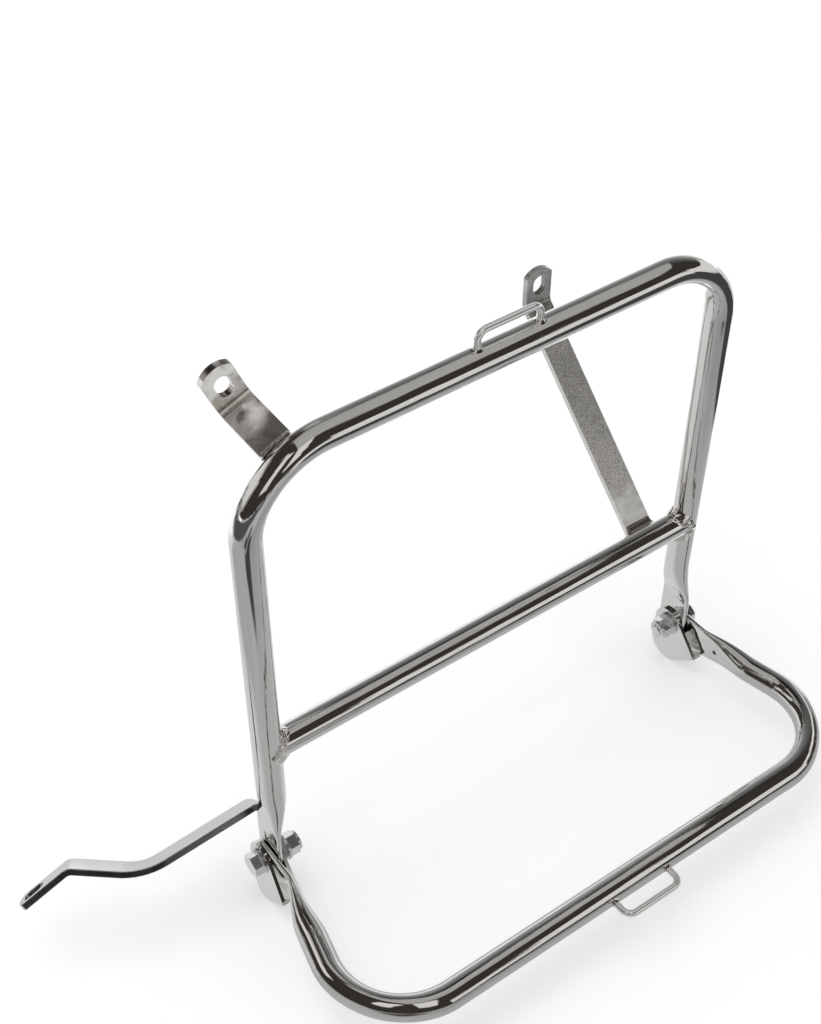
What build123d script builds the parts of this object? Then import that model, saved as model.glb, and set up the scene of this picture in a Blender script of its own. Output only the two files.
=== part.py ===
"""Fold-down pannier frame for one side of a motorbike, in millimetres, +Z up.

The origin is the middle of the shelf's hinge line. +X runs along the top bar,
-Y points outboard to the luggage and +Y inboard to the vehicle.
"""
import os
from math import cos, radians, sin, tan

from build123d import *

# Tube, all its bends made on one former
tube_diameter = 16.0
tube_wall = 1.5
bend_radius = 45.0

# Main hoop, leg axis to leg axis and hinge line to top bar axis
frame_width = 294.0
frame_height = 293.0
crossbar_height = 94.0

# Shelf, hinge line to front bar axis, resting slightly nose-up
shelf_depth = 131.0
shelf_splay = 12.0
shelf_tilt = 2.1

# Tube ends pressed flat for the hinge
plate_thickness = 3.0
plate_width = 22.0
plate_reach = 25.0
press_length = 37.0
leg_press_offset = 3.5
pinch_length = 3.0
pinch_gap = 0.4
arm_vent_diameter = 3.0
arm_vent_reach = 36.0
leg_vent_diameter = 6.0

# Hinge fasteners
bolt_diameter = 8.0
bolt_clearance = 0.05
hex_across_flats = 13.0
hex_chamfer = 0.8
bolt_head_height = 5.3
bolt_end_length = 1.0
bolt_end_chamfer = 0.8
washer_diameter = 16.0
washer_thickness = 1.6
washer_clearance = 0.2
nut_height = 8.0
nut_hex_height = 6.3
nut_collar_wall = 0.6
nut_insert_thickness = 1.5

# Hinge clip, a folded sheet that carries the shelf at rest
sheet_thickness = 2.0
clip_fold_radius = 2.0
clip_angle = 48.0
clip_nose_radius = 11.2
clip_lobe_radius = 12.4
clip_lobe_setback = 12.0
side_gap = 0.4
stop_gap = 0.3

# Flat straps
strap_width = 18.0
strap_thickness = 4.0
strap_end_radius = 11.5
strap_bend_radius = 7.0
slot_width = 8.6
slot_length = 13.0

upper_strap_place = 26.0
upper_strap_lean = 22.0
upper_strap_reach = 46.0
upper_tab_height = 28.0
upper_slot_height = 15.0

long_strap_inset = 29.4
long_strap_slope = 43.8
long_strap_reach = 114.3
long_foot_y = 7.6
long_foot_rise = 0.9
long_tab_height = 25.4
long_slot_height = 13.9

lower_strap_width = 15.0
lower_strap_lean = 37.0
lower_strap_rise = 32.0
lower_run_length = 75.0
lower_run_angle = -2.5
lower_skew = 24.0
lower_ramp_length = 40.1
lower_ramp_angle = 26.5
lower_ramp_lead = 12.0
lower_tab_length = 33.5
lower_tab_angle = -18.8
lower_tab_bend = 6.0
lower_slot_setback = 10.0

# Wire loops
wire_diameter = 3.9
loop_span = 38.0
loop_offset = 3.0
loop_bend_radius = 5.5
top_loop_height = 18.0
shelf_loop_reach = 19.0

# Derived sizes
tube_radius = tube_diameter / 2
bore_radius = tube_radius - tube_wall
half_width = frame_width / 2
long_strap_x = half_width - long_strap_inset
round_reach = plate_reach + press_length
pivot_radius = bolt_diameter / 2 + bolt_clearance
wire_radius = wire_diameter / 2

leg_plate_x = half_width + leg_press_offset
shelf_plate_x = leg_plate_x + plate_thickness + side_gap
clip_gap = 2 * plate_thickness + 2 * side_gap
clip_inner_x = leg_plate_x - plate_thickness / 2
clip_mid_x = clip_inner_x + clip_gap / 2
clip_width = clip_gap + 2 * sheet_thickness
head_washer_x = clip_mid_x + clip_width / 2
head_x = head_washer_x + washer_thickness
right_washer_x = clip_mid_x - clip_width / 2
left_washer_x = right_washer_x - strap_thickness
right_nut_x = right_washer_x - washer_thickness
left_nut_x = left_washer_x - washer_thickness
bolt_length = head_x - right_nut_x + nut_height + bolt_end_length

rest_angle = radians(clip_angle + shelf_tilt)
stop_drop = plate_width / 2 + stop_gap
web_inner = (stop_drop + clip_nose_radius * cos(rest_angle)) / sin(rest_angle)
web_outer = web_inner + sheet_thickness
clip_lobe_drop = web_outer - clip_lobe_radius

tilt = radians(shelf_tilt)
splay = radians(shelf_splay)
shelf_plane = Plane(origin=(0, 0, 0), x_dir=(1, 0, 0), z_dir=(0, sin(tilt), cos(tilt)))
arm_round_x = shelf_plate_x + press_length * sin(splay)
arm_round_y = plate_reach + press_length * cos(splay)
arm_corner_x = shelf_plate_x + (shelf_depth - plate_reach) * tan(splay)


def on_shelf(x, y, z):
    """A point, or a direction, in the plane of the resting shelf."""
    return shelf_plane.from_local_coords(Vector(x, y, z))


def round_section(radius):
    """A circle in four arcs, whose corners pair with those of the flat section."""
    corner = radius * sin(radians(45))
    with BuildSketch() as section:
        with BuildLine():
            ThreePointArc((corner, -corner), (radius, 0), (corner, corner))
            ThreePointArc((corner, corner), (0, radius), (-corner, corner))
            ThreePointArc((-corner, corner), (-radius, 0), (-corner, -corner))
            ThreePointArc((-corner, -corner), (0, -radius), (corner, -corner))
        make_face()
    return section.sketch


def flat_section(thickness, width):
    """A pressed tube's section, flat sides with round edges."""
    edge = thickness / 2
    end = width / 2
    with BuildSketch() as section:
        with BuildLine():
            Line((edge, edge - end), (edge, end - edge))
            ThreePointArc((edge, end - edge), (0, end), (-edge, end - edge))
            Line((-edge, end - edge), (-edge, edge - end))
            ThreePointArc((-edge, edge - end), (0, -end), (edge, edge - end))
        make_face()
    return section.sketch


def pressed_end(round_plane, flat_plane):
    """A tube end pressed into a round-ended plate, bored for the hinge bolt."""
    pivot_plane = flat_plane.offset(-plate_reach)
    with BuildPart() as end:
        with BuildSketch(round_plane):
            add(round_section(tube_radius))
        with BuildSketch(flat_plane):
            add(flat_section(plate_thickness, plate_width))
        loft()
        with BuildSketch(flat_plane):
            add(flat_section(plate_thickness, plate_width))
        extrude(amount=-plate_reach)
        with BuildSketch(pivot_plane):
            add(flat_section(plate_thickness, plate_width))
            with Locations((0, plate_width / 2)):
                Rectangle(2 * plate_thickness, plate_width, mode=Mode.SUBTRACT)
        revolve(axis=Axis(pivot_plane.origin, pivot_plane.x_dir), revolution_arc=180)
        with BuildSketch(round_plane):
            add(round_section(bore_radius))
        with BuildSketch(flat_plane.offset(pinch_length)):
            add(flat_section(pinch_gap, plate_width - 4 * tube_wall))
        loft(mode=Mode.SUBTRACT)
        with BuildSketch(Plane(origin=pivot_plane.origin, z_dir=pivot_plane.x_dir)):
            Circle(pivot_radius)
        extrude(amount=plate_thickness, both=True, mode=Mode.SUBTRACT)
    return end.part


def across(x, outward):
    """A plane square to the hinge line at x, facing along outward."""
    return Plane(origin=(x, 0, 0), x_dir=(0, 0, 1), z_dir=(outward, 0, 0))


def hexagon(plane, height):
    """A hexagon prism with its far corners chamfered round."""
    with BuildPart() as prism:
        with BuildSketch(plane):
            Circle(hex_across_flats / 2 / cos(radians(30)))
        extrude(amount=height)
        chamfer(prism.edges().sort_by(Axis(plane.origin, plane.z_dir))[-1], hex_chamfer / 2, hex_chamfer)
        with BuildSketch(plane):
            RegularPolygon(hex_across_flats / 2, 6, major_radius=False)
        extrude(amount=height, mode=Mode.INTERSECT)
    return prism.part


def pivot_bolt(seat):
    """A hexagon bolt whose head seats on the plane and whose shank runs inward."""
    with BuildPart() as bolt:
        add(hexagon(seat, bolt_head_height))
        with BuildSketch(seat):
            Circle(bolt_diameter / 2)
        extrude(amount=-bolt_length)
        tip = bolt.edges().sort_by(Axis(seat.origin, seat.z_dir))[0]
        chamfer(tip, bolt_end_chamfer)
    return bolt.part


def lock_nut(seat):
    """A lock nut on its seat: hexagon, and a thin collar turned in over the ring."""
    collar_radius = hex_across_flats / 2 - nut_collar_wall / 2
    ring_radius = collar_radius - nut_collar_wall
    with BuildPart() as nut:
        add(hexagon(seat, nut_hex_height))
        with BuildSketch(seat):
            Circle(collar_radius)
        extrude(amount=nut_height)
        rim = nut.edges().sort_by(Axis(seat.origin, seat.z_dir))[-1]
        fillet(rim, nut_collar_wall)
        with BuildSketch(seat.offset(nut_hex_height)):
            Circle(ring_radius)
        extrude(amount=nut_insert_thickness, mode=Mode.SUBTRACT)
        with BuildSketch(seat):
            Circle(pivot_radius)
        extrude(amount=nut_hex_height, mode=Mode.SUBTRACT)
        with BuildSketch(seat.offset(nut_hex_height + nut_insert_thickness)):
            Circle(ring_radius - nut_collar_wall)
        extrude(amount=nut_height, mode=Mode.SUBTRACT)
    return nut.part


def nut_insert(seat):
    """The plastic ring in a lock nut's collar."""
    ring_radius = hex_across_flats / 2 - 3 * nut_collar_wall / 2
    with BuildPart() as ring:
        with BuildSketch(seat.offset(nut_hex_height)):
            Circle(ring_radius)
            Circle(pivot_radius, mode=Mode.SUBTRACT)
        extrude(amount=nut_insert_thickness)
    return ring.part


def washer(seat):
    """A plain washer on its seat."""
    with BuildPart() as disc:
        with BuildSketch(seat):
            Circle(washer_diameter / 2)
            Circle(bolt_diameter / 2 + washer_clearance, mode=Mode.SUBTRACT)
        extrude(amount=washer_thickness)
    return disc.part


def end_trim(plane):
    """What a strap's arched end leaves out, the plane's origin at the middle of the end."""
    with BuildPart() as trim:
        with BuildSketch(plane):
            with Locations((-strap_end_radius / 2, 0)):
                Rectangle(strap_end_radius, 2 * strap_width)
            with Locations((-strap_end_radius, 0)):
                Circle(strap_end_radius, mode=Mode.SUBTRACT)
        extrude(amount=strap_thickness, both=True)
    return trim.part


# Main hoop, each leg vented into the crossbar
with BuildPart() as main_hoop:
    with BuildLine():
        hoop_line = FilletPolyline(
            (-half_width, 0, round_reach),
            (-half_width, 0, frame_height),
            (half_width, 0, frame_height),
            (half_width, 0, round_reach),
            radius=bend_radius,
        )
    with BuildSketch(Plane(origin=hoop_line @ 0, z_dir=hoop_line % 0)):
        Circle(tube_radius)
        Circle(bore_radius, mode=Mode.SUBTRACT)
    sweep()
    for side in (-1, 1):
        leg_round = Plane(origin=(side * half_width, 0, round_reach), x_dir=(side, 0, 0), z_dir=(0, 0, 1))
        leg_flat = Plane(origin=(side * leg_plate_x, 0, plate_reach), x_dir=(side, 0, 0), z_dir=(0, 0, 1))
        add(pressed_end(leg_round, leg_flat))
    with BuildSketch(Plane(origin=(0, 0, crossbar_height), z_dir=(1, 0, 0))):
        Circle(leg_vent_diameter / 2)
    extrude(amount=half_width, both=True, mode=Mode.SUBTRACT)

# Crossbar, coped to the legs
with BuildPart() as crossbar:
    with BuildSketch(Plane(origin=(0, 0, crossbar_height), z_dir=(1, 0, 0))):
        Circle(tube_radius)
        Circle(bore_radius, mode=Mode.SUBTRACT)
    extrude(amount=half_width, both=True)
    with Locations((-half_width, 0, crossbar_height), (half_width, 0, crossbar_height)):
        Cylinder(tube_radius, 2 * tube_diameter, mode=Mode.SUBTRACT)

# Shelf hoop, each arm vented on its inner face
vent_share = (arm_vent_reach - plate_reach) / press_length
with BuildPart() as shelf_hoop:
    with BuildLine():
        shelf_line = FilletPolyline(
            on_shelf(-arm_round_x, -arm_round_y, 0),
            on_shelf(-arm_corner_x, -shelf_depth, 0),
            on_shelf(arm_corner_x, -shelf_depth, 0),
            on_shelf(arm_round_x, -arm_round_y, 0),
            radius=bend_radius,
        )
    with BuildSketch(Plane(origin=shelf_line @ 0, z_dir=shelf_line % 0)):
        Circle(tube_radius)
        Circle(bore_radius, mode=Mode.SUBTRACT)
    sweep()
    for side in (-1, 1):
        arm_round = Plane(
            origin=on_shelf(side * arm_round_x, -arm_round_y, 0),
            x_dir=on_shelf(side * cos(splay), sin(splay), 0),
            z_dir=on_shelf(side * sin(splay), -cos(splay), 0),
        )
        arm_flat = Plane(
            origin=on_shelf(side * shelf_plate_x, -plate_reach, 0),
            x_dir=(side, 0, 0),
            z_dir=on_shelf(0, -1, 0),
        )
        add(pressed_end(arm_round, arm_flat))
        arm_vent = arm_flat.origin + (arm_round.origin - arm_flat.origin) * vent_share
        with BuildSketch(Plane(origin=arm_vent, z_dir=-arm_flat.x_dir)):
            Circle(arm_vent_diameter / 2)
        extrude(amount=tube_radius, mode=Mode.SUBTRACT)

# Hinge clips, a folded strip trimmed to the outline of its cheeks
clip_lean = radians(clip_angle)
clip_down = Vector(0, -cos(clip_lean), -sin(clip_lean))
clip_front = Vector(0, -sin(clip_lean), cos(clip_lean))
with BuildPart() as hinge_clip_right:
    with BuildSketch(Plane(origin=(clip_mid_x, 0, 0), x_dir=(1, 0, 0), z_dir=-clip_front)) as fold:
        with Locations((0, web_outer / 2)):
            Rectangle(clip_width, web_outer + 4 * clip_nose_radius)
        fillet(fold.vertices().group_by(Axis.Y)[-1], clip_fold_radius + sheet_thickness)
        with Locations((0, web_inner / 2 - clip_nose_radius)):
            RectangleRounded(
                clip_gap, web_inner + 2 * clip_nose_radius, clip_fold_radius, mode=Mode.SUBTRACT
            )
    extrude(amount=3 * clip_nose_radius, both=True)
    with BuildSketch(Plane(origin=(clip_mid_x, 0, 0), x_dir=clip_front, z_dir=(1, 0, 0))):
        Circle(clip_nose_radius)
        with Locations((-clip_lobe_setback, clip_lobe_drop)):
            Circle(clip_lobe_radius)
        with Locations((clip_nose_radius / 2, web_outer / 2)):
            Rectangle(clip_nose_radius, web_outer)
        make_hull()
    extrude(amount=clip_width, both=True, mode=Mode.INTERSECT)
    with BuildSketch(across(clip_mid_x, 1)):
        Circle(pivot_radius)
    extrude(amount=clip_width, both=True, mode=Mode.SUBTRACT)

with BuildPart() as hinge_clip_left:
    mirror(hinge_clip_right.part, about=Plane.YZ)

# Fasteners, heads outside and nuts inside, one length of bolt on both sides
with BuildPart() as head_washer_right:
    add(washer(across(head_washer_x, 1)))

with BuildPart() as head_washer_left:
    add(washer(across(-head_washer_x, -1)))

with BuildPart() as nut_washer_right:
    add(washer(across(right_washer_x, -1)))

with BuildPart() as nut_washer_left:
    add(washer(across(-left_washer_x, 1)))

with BuildPart() as pivot_bolt_right:
    add(pivot_bolt(across(head_x, 1)))

with BuildPart() as pivot_bolt_left:
    add(pivot_bolt(across(-head_x, -1)))

with BuildPart() as lock_nut_right:
    add(lock_nut(across(right_nut_x, -1)))

with BuildPart() as lock_nut_left:
    add(lock_nut(across(-left_nut_x, 1)))

with BuildPart() as nut_insert_right:
    add(nut_insert(across(right_nut_x, -1)))

with BuildPart() as nut_insert_left:
    add(nut_insert(across(-left_nut_x, 1)))

# Upper strap, welded to the back of the left bend and turned up to a tab
strap_place = radians(upper_strap_place)
strap_lean = radians(upper_strap_lean)
upper_root = Vector(
    bend_radius * (1 - sin(strap_place)) - half_width,
    0,
    frame_height - bend_radius * (1 - cos(strap_place)),
)
upper_plane = Plane(origin=upper_root, x_dir=(0, 1, 0), z_dir=(cos(strap_lean), 0, sin(strap_lean)))
upper_end = upper_plane.from_local_coords(Vector(upper_strap_reach, upper_tab_height, 0))
upper_slot = upper_plane.from_local_coords(Vector(upper_strap_reach, upper_slot_height, 0))
with BuildPart() as upper_strap:
    with BuildSketch(upper_plane):
        with BuildLine():
            FilletPolyline(
                (0, 0),
                (upper_strap_reach, 0),
                (upper_strap_reach, upper_tab_height),
                radius=strap_bend_radius,
            )
        trace(line_width=strap_thickness)
    extrude(amount=strap_width / 2, both=True)
    add(end_trim(Plane(upper_end, x_dir=upper_plane.y_dir, z_dir=(0, 1, 0))), mode=Mode.SUBTRACT)
    with BuildSketch(Plane(upper_slot, x_dir=upper_plane.y_dir, z_dir=(0, 1, 0))):
        SlotOverall(slot_length, slot_width)
    extrude(amount=strap_thickness, both=True, mode=Mode.SUBTRACT)
    bend_centre = (bend_radius - half_width, 0, frame_height - bend_radius)
    with Locations(Plane(origin=bend_centre, z_dir=(0, 1, 0))):
        Torus(bend_radius, tube_radius, mode=Mode.SUBTRACT)

# Long strap, welded behind the crossbar and rising inboard to an upright tab
long_rise = tan(radians(long_strap_slope))
long_plane = Plane(origin=(long_strap_x, 0, crossbar_height), x_dir=(0, 1, 0), z_dir=(1, 0, 0))
long_bend_z = long_foot_rise + (long_strap_reach - long_foot_y) * long_rise
long_end = long_plane.from_local_coords(Vector(long_strap_reach, long_bend_z + long_tab_height, 0))
long_slot = long_plane.from_local_coords(Vector(long_strap_reach, long_bend_z + long_slot_height, 0))
with BuildPart() as long_strap:
    with BuildSketch(long_plane):
        with BuildLine():
            FilletPolyline(
                (tube_radius / 2, long_foot_rise + (tube_radius / 2 - long_foot_y) * long_rise),
                (long_strap_reach, long_bend_z),
                (long_strap_reach, long_bend_z + long_tab_height),
                radius=strap_bend_radius,
            )
        trace(line_width=strap_thickness)
    extrude(amount=strap_width / 2, both=True)
    add(end_trim(Plane(long_end, x_dir=(0, 0, 1), z_dir=(0, 1, 0))), mode=Mode.SUBTRACT)
    with BuildSketch(Plane(long_slot, x_dir=(0, 0, 1), z_dir=(0, 1, 0))):
        SlotOverall(slot_length, slot_width)
    extrude(amount=strap_thickness, both=True, mode=Mode.SUBTRACT)
    with BuildSketch(long_plane):
        Circle(tube_radius)
    extrude(amount=strap_width, both=True, mode=Mode.SUBTRACT)

# Lower strap, held on the left hinge bolt, led behind the leg and turned inboard
lean = radians(lower_strap_lean)
skew = radians(lower_skew)
run_angle = radians(lower_run_angle)
ramp_angle = radians(lower_ramp_angle)
tab_angle = radians(lower_tab_angle)
run_way = Vector(cos(run_angle), sin(run_angle))
ramp_way = Vector(cos(ramp_angle), sin(ramp_angle))
tab_way = Vector(cos(tab_angle), sin(tab_angle))
lower_root = Vector(strap_thickness / 2 - right_washer_x, 0, 0)
lower_plane = Plane(origin=lower_root, x_dir=(-1, 0, 0), z_dir=(0, cos(lean), -sin(lean)))
run_start = Vector(0, lower_strap_rise)
run_end = run_start + run_way * (lower_run_length - lower_ramp_lead)
ramp_corner = lower_plane.from_local_coords(run_start + run_way * lower_run_length)
skew_plane = Plane(
    origin=ramp_corner,
    x_dir=lower_plane.x_dir * cos(skew) + lower_plane.z_dir * sin(skew),
    z_dir=lower_plane.z_dir * cos(skew) - lower_plane.x_dir * sin(skew),
)
ramp_start = ramp_way * lower_ramp_lead
tab_start = ramp_way * lower_ramp_length
tab_end = tab_start + tab_way * lower_tab_length
bend_in = lower_plane.from_local_coords(run_end)
bend_out = skew_plane.from_local_coords(ramp_start)
bend_middle = (bend_in + ramp_corner * 2 + bend_out) * 0.25
bend_across = lower_plane.z_dir + skew_plane.z_dir
tab_along = skew_plane.from_local_coords(tab_way) - ramp_corner
tab_normal = skew_plane.from_local_coords(Vector(-tab_way.Y, tab_way.X)) - ramp_corner
lower_end = skew_plane.from_local_coords(tab_end)
lower_slot = skew_plane.from_local_coords(tab_end - tab_way * lower_slot_setback)
with BuildPart() as lower_strap:
    with BuildSketch(lower_plane):
        with BuildLine() as run_line:
            Polyline((0, -lower_strap_width / 2), run_start, run_end)
            fillet(run_line.vertices().sort_by_distance(run_start)[0], strap_bend_radius)
        trace(line_width=strap_thickness)
    extrude(amount=lower_strap_width / 2, both=True)
    lower_corners = lower_strap.edges().filter_by(Axis.X).sort_by(Axis(lower_root, lower_plane.y_dir))
    fillet(lower_corners[:2], lower_strap_width / 2 - side_gap)
    with BuildSketch(skew_plane):
        with BuildLine() as tab_line:
            Polyline(ramp_start, tab_start, tab_end)
            fillet(tab_line.vertices().sort_by_distance(tab_start)[0], lower_tab_bend)
        trace(line_width=strap_thickness)
    extrude(amount=lower_strap_width / 2, both=True)
    with BuildSketch(Plane(bend_in, x_dir=lower_plane.z_dir, z_dir=ramp_corner - bend_in)):
        Rectangle(lower_strap_width, strap_thickness)
    with BuildSketch(Plane(bend_middle, x_dir=bend_across, z_dir=bend_out - bend_in)):
        Rectangle(lower_strap_width, strap_thickness)
    with BuildSketch(Plane(bend_out, x_dir=skew_plane.z_dir, z_dir=bend_out - ramp_corner)):
        Rectangle(lower_strap_width, strap_thickness)
    loft()
    add(end_trim(Plane(lower_end, x_dir=tab_along, z_dir=tab_normal)), mode=Mode.SUBTRACT)
    with BuildSketch(Plane(lower_slot, x_dir=tab_along, z_dir=tab_normal)):
        SlotOverall(slot_length, slot_width)
    extrude(amount=strap_thickness, both=True, mode=Mode.SUBTRACT)
    with BuildSketch(across(lower_root.X, 1)):
        Circle(pivot_radius)
    extrude(amount=strap_thickness, both=True, mode=Mode.SUBTRACT)

# Wire loops, coped to their bars
loop_left = loop_offset - loop_span / 2
loop_right = loop_offset + loop_span / 2
with BuildPart() as top_loop:
    with BuildLine():
        top_wire = FilletPolyline(
            (loop_left, 0, frame_height),
            (loop_left, 0, frame_height + top_loop_height),
            (loop_right, 0, frame_height + top_loop_height),
            (loop_right, 0, frame_height),
            radius=loop_bend_radius,
        )
    with BuildSketch(Plane(origin=top_wire @ 0, z_dir=top_wire % 0)):
        Circle(wire_radius)
    sweep()
    with BuildSketch(Plane(origin=(0, 0, frame_height), z_dir=(1, 0, 0))):
        Circle(tube_radius)
    extrude(amount=half_width, both=True, mode=Mode.SUBTRACT)

with BuildPart() as shelf_loop:
    with BuildLine():
        shelf_wire = FilletPolyline(
            on_shelf(loop_left, -shelf_depth, 0),
            on_shelf(loop_left, -shelf_depth - shelf_loop_reach, 0),
            on_shelf(loop_right, -shelf_depth - shelf_loop_reach, 0),
            on_shelf(loop_right, -shelf_depth, 0),
            radius=loop_bend_radius,
        )
    with BuildSketch(Plane(origin=shelf_wire @ 0, z_dir=shelf_wire % 0)):
        Circle(wire_radius)
    sweep()
    with BuildSketch(Plane(origin=on_shelf(0, -shelf_depth, 0), z_dir=(1, 0, 0))):
        Circle(tube_radius)
    extrude(amount=half_width, both=True, mode=Mode.SUBTRACT)

main_hoop.part.label = "main_hoop"
crossbar.part.label = "crossbar"
shelf_hoop.part.label = "shelf_hoop"
hinge_clip_left.part.label = "hinge_clip_left"
hinge_clip_right.part.label = "hinge_clip_right"
pivot_bolt_left.part.label = "pivot_bolt_left"
pivot_bolt_right.part.label = "pivot_bolt_right"
lock_nut_left.part.label = "lock_nut_left"
lock_nut_right.part.label = "lock_nut_right"
nut_insert_left.part.label = "nut_insert_left"
nut_insert_right.part.label = "nut_insert_right"
head_washer_left.part.label = "head_washer_left"
head_washer_right.part.label = "head_washer_right"
nut_washer_left.part.label = "nut_washer_left"
nut_washer_right.part.label = "nut_washer_right"
upper_strap.part.label = "upper_strap"
long_strap.part.label = "long_strap"
lower_strap.part.label = "lower_strap"
top_loop.part.label = "top_loop"
shelf_loop.part.label = "shelf_loop"

os.makedirs("parts", exist_ok=True)
export_step(main_hoop.part, "parts/main_hoop.step")
export_step(crossbar.part, "parts/crossbar.step")
export_step(shelf_hoop.part, "parts/shelf_hoop.step")
export_step(hinge_clip_left.part, "parts/hinge_clip_left.step")
export_step(hinge_clip_right.part, "parts/hinge_clip_right.step")
export_step(pivot_bolt_left.part, "parts/pivot_bolt_left.step")
export_step(pivot_bolt_right.part, "parts/pivot_bolt_right.step")
export_step(lock_nut_left.part, "parts/lock_nut_left.step")
export_step(lock_nut_right.part, "parts/lock_nut_right.step")
export_step(nut_insert_left.part, "parts/nut_insert_left.step")
export_step(nut_insert_right.part, "parts/nut_insert_right.step")
export_step(head_washer_left.part, "parts/head_washer_left.step")
export_step(head_washer_right.part, "parts/head_washer_right.step")
export_step(nut_washer_left.part, "parts/nut_washer_left.step")
export_step(nut_washer_right.part, "parts/nut_washer_right.step")
export_step(upper_strap.part, "parts/upper_strap.step")
export_step(long_strap.part, "parts/long_strap.step")
export_step(lower_strap.part, "parts/lower_strap.step")
export_step(top_loop.part, "parts/top_loop.step")
export_step(shelf_loop.part, "parts/shelf_loop.step")
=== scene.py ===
"""Looks of a fold-down pannier frame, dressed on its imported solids, in metres."""
import logging
from dataclasses import dataclass, replace
from enum import Enum
from functools import cache
from math import asin, atan2, copysign, cos, pi, radians, sin, sqrt, tan

import bmesh
import bpy
from mathutils import Matrix, Vector, kdtree, noise


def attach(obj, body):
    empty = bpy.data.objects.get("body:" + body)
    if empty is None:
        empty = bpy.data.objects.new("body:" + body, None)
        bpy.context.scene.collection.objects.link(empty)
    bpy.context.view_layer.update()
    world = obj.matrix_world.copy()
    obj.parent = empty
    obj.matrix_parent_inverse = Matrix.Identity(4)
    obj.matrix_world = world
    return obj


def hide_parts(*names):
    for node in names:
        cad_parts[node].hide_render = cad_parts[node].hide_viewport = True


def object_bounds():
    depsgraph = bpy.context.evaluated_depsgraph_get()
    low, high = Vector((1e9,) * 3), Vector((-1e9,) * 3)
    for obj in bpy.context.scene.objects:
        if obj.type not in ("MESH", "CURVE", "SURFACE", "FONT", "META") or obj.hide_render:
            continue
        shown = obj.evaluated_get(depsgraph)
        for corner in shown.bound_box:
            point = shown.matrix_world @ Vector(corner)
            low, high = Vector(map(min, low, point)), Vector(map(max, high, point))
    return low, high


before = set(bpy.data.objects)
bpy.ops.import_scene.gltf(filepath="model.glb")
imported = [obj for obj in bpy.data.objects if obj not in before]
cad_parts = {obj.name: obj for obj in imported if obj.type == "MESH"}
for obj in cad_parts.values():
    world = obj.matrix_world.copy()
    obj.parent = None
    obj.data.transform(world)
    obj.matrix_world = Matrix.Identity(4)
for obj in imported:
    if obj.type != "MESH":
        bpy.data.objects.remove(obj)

CAD_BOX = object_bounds()
REPORT = logging.getLogger("pannier_frame")

Piece = bpy.types.Object
Node = bpy.types.Node
Socket = bpy.types.NodeSocket
Tree = bpy.types.NodeTree
Look = bpy.types.Material
Span = tuple[float, float]
Spot = tuple[float, float, float]
Tone = tuple[float, float, float, float]
Value = float | Socket
Colour = Spot | Socket
Sockets = dict[str, Socket]
Rings = list[list[Vector]]
Bore = tuple[Vector, Vector, float]

MM = 0.001
X_AXIS = Vector((1.0, 0.0, 0.0))
Y_AXIS = Vector((0.0, 1.0, 0.0))
Z_AXIS = Vector((0.0, 0.0, 1.0))
MIRROR = Vector((-1.0, 1.0, 1.0))
WHITE = (1.0, 1.0, 1.0, 1.0)

# Sizes that several pieces share, in millimetres
TUBE_RADIUS = 8.0
BEND_RADIUS = 45.0
HALF_WIDTH = 147.0
FRAME_HEIGHT = 293.0
CROSSBAR_HEIGHT = 94.0
PLATE_REACH = 25.0

# Fineness of round shapes
FLAT_TURN = radians(10.0)
FLAT_STEPS = 8
SIDE_STEPS = 24
BORE_SIDES = 48
SHARP_ANGLE = radians(38.0)


class Body(Enum):
    """The two bodies that the hinge joins."""

    FRAME = "frame"
    SHELF = "shelf"


class Slot(Enum):
    """The record's material slots."""

    CHROME = "chrome_tube"
    SATIN = "satin_strap"
    ZINC = "zinc_hardware"
    RING = "nut_ring"


def smooth_step(share: float) -> float:
    """Eases a share, clamped to 0 and 1."""
    share = min(1.0, max(0.0, share))
    return share * share * (3.0 - 2.0 * share)


def blend(start: float, end: float, share: float) -> float:
    """Gives the value a share of the way from one to another."""
    return start + (end - start) * share


def circle(centre: Vector, side: Vector, other: Vector, radius: float, count: int) -> list[Vector]:
    """Lists points round a circle, from one direction towards another."""
    turns = [2.0 * pi * step / count for step in range(count)]
    return [centre + (side * cos(turn) + other * sin(turn)) * radius for turn in turns]


def link_object(name: str, data: bpy.types.ID) -> Piece:
    """Puts a mesh, a lamp or a camera in the scene.

    Args:
        name: The object's name.
        data: What it shows.

    Returns:
        The new object.
    """
    thing = bpy.data.objects.new(name, data)
    bpy.context.scene.collection.objects.link(thing)
    return thing


def add_piece(name: str, points: list[Vector], faces: list[tuple[int, ...]]) -> Piece:
    """Makes an object from points, its faces turned outward.

    Args:
        name: The piece's name.
        points: The corners, in millimetres.
        faces: The corner numbers of each face.

    Returns:
        The new object.
    """
    mesh = bpy.data.meshes.new(name)
    mesh.from_pydata([point * MM for point in points], [], faces)
    shape = bmesh.new()
    shape.from_mesh(mesh)
    bmesh.ops.recalc_face_normals(shape, faces=shape.faces)
    shape.to_mesh(mesh)
    shape.free()
    return link_object(name, mesh)


def skin(rings: Rings, closed: bool) -> tuple[list[Vector], list[tuple[int, ...]]]:
    """Joins rings of one count into a tube.

    Args:
        rings: The rings in order, each a closed run of points.
        closed: Whether the last ring joins the first; if not, both ends are capped.

    Returns:
        The points and the faces.
    """
    count = len(rings[0])
    points = [point for ring in rings for point in ring]
    faces: list[tuple[int, ...]] = []
    for span in range(len(rings) if closed else len(rings) - 1):
        here, there = span * count, (span + 1) % len(rings) * count
        for side in range(count):
            follow = (side + 1) % count
            faces.append((here + side, here + follow, there + follow, there + side))
    if not closed:
        faces += [tuple(range(count)), tuple(range(len(points) - count, len(points)))]
    return points, faces


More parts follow.
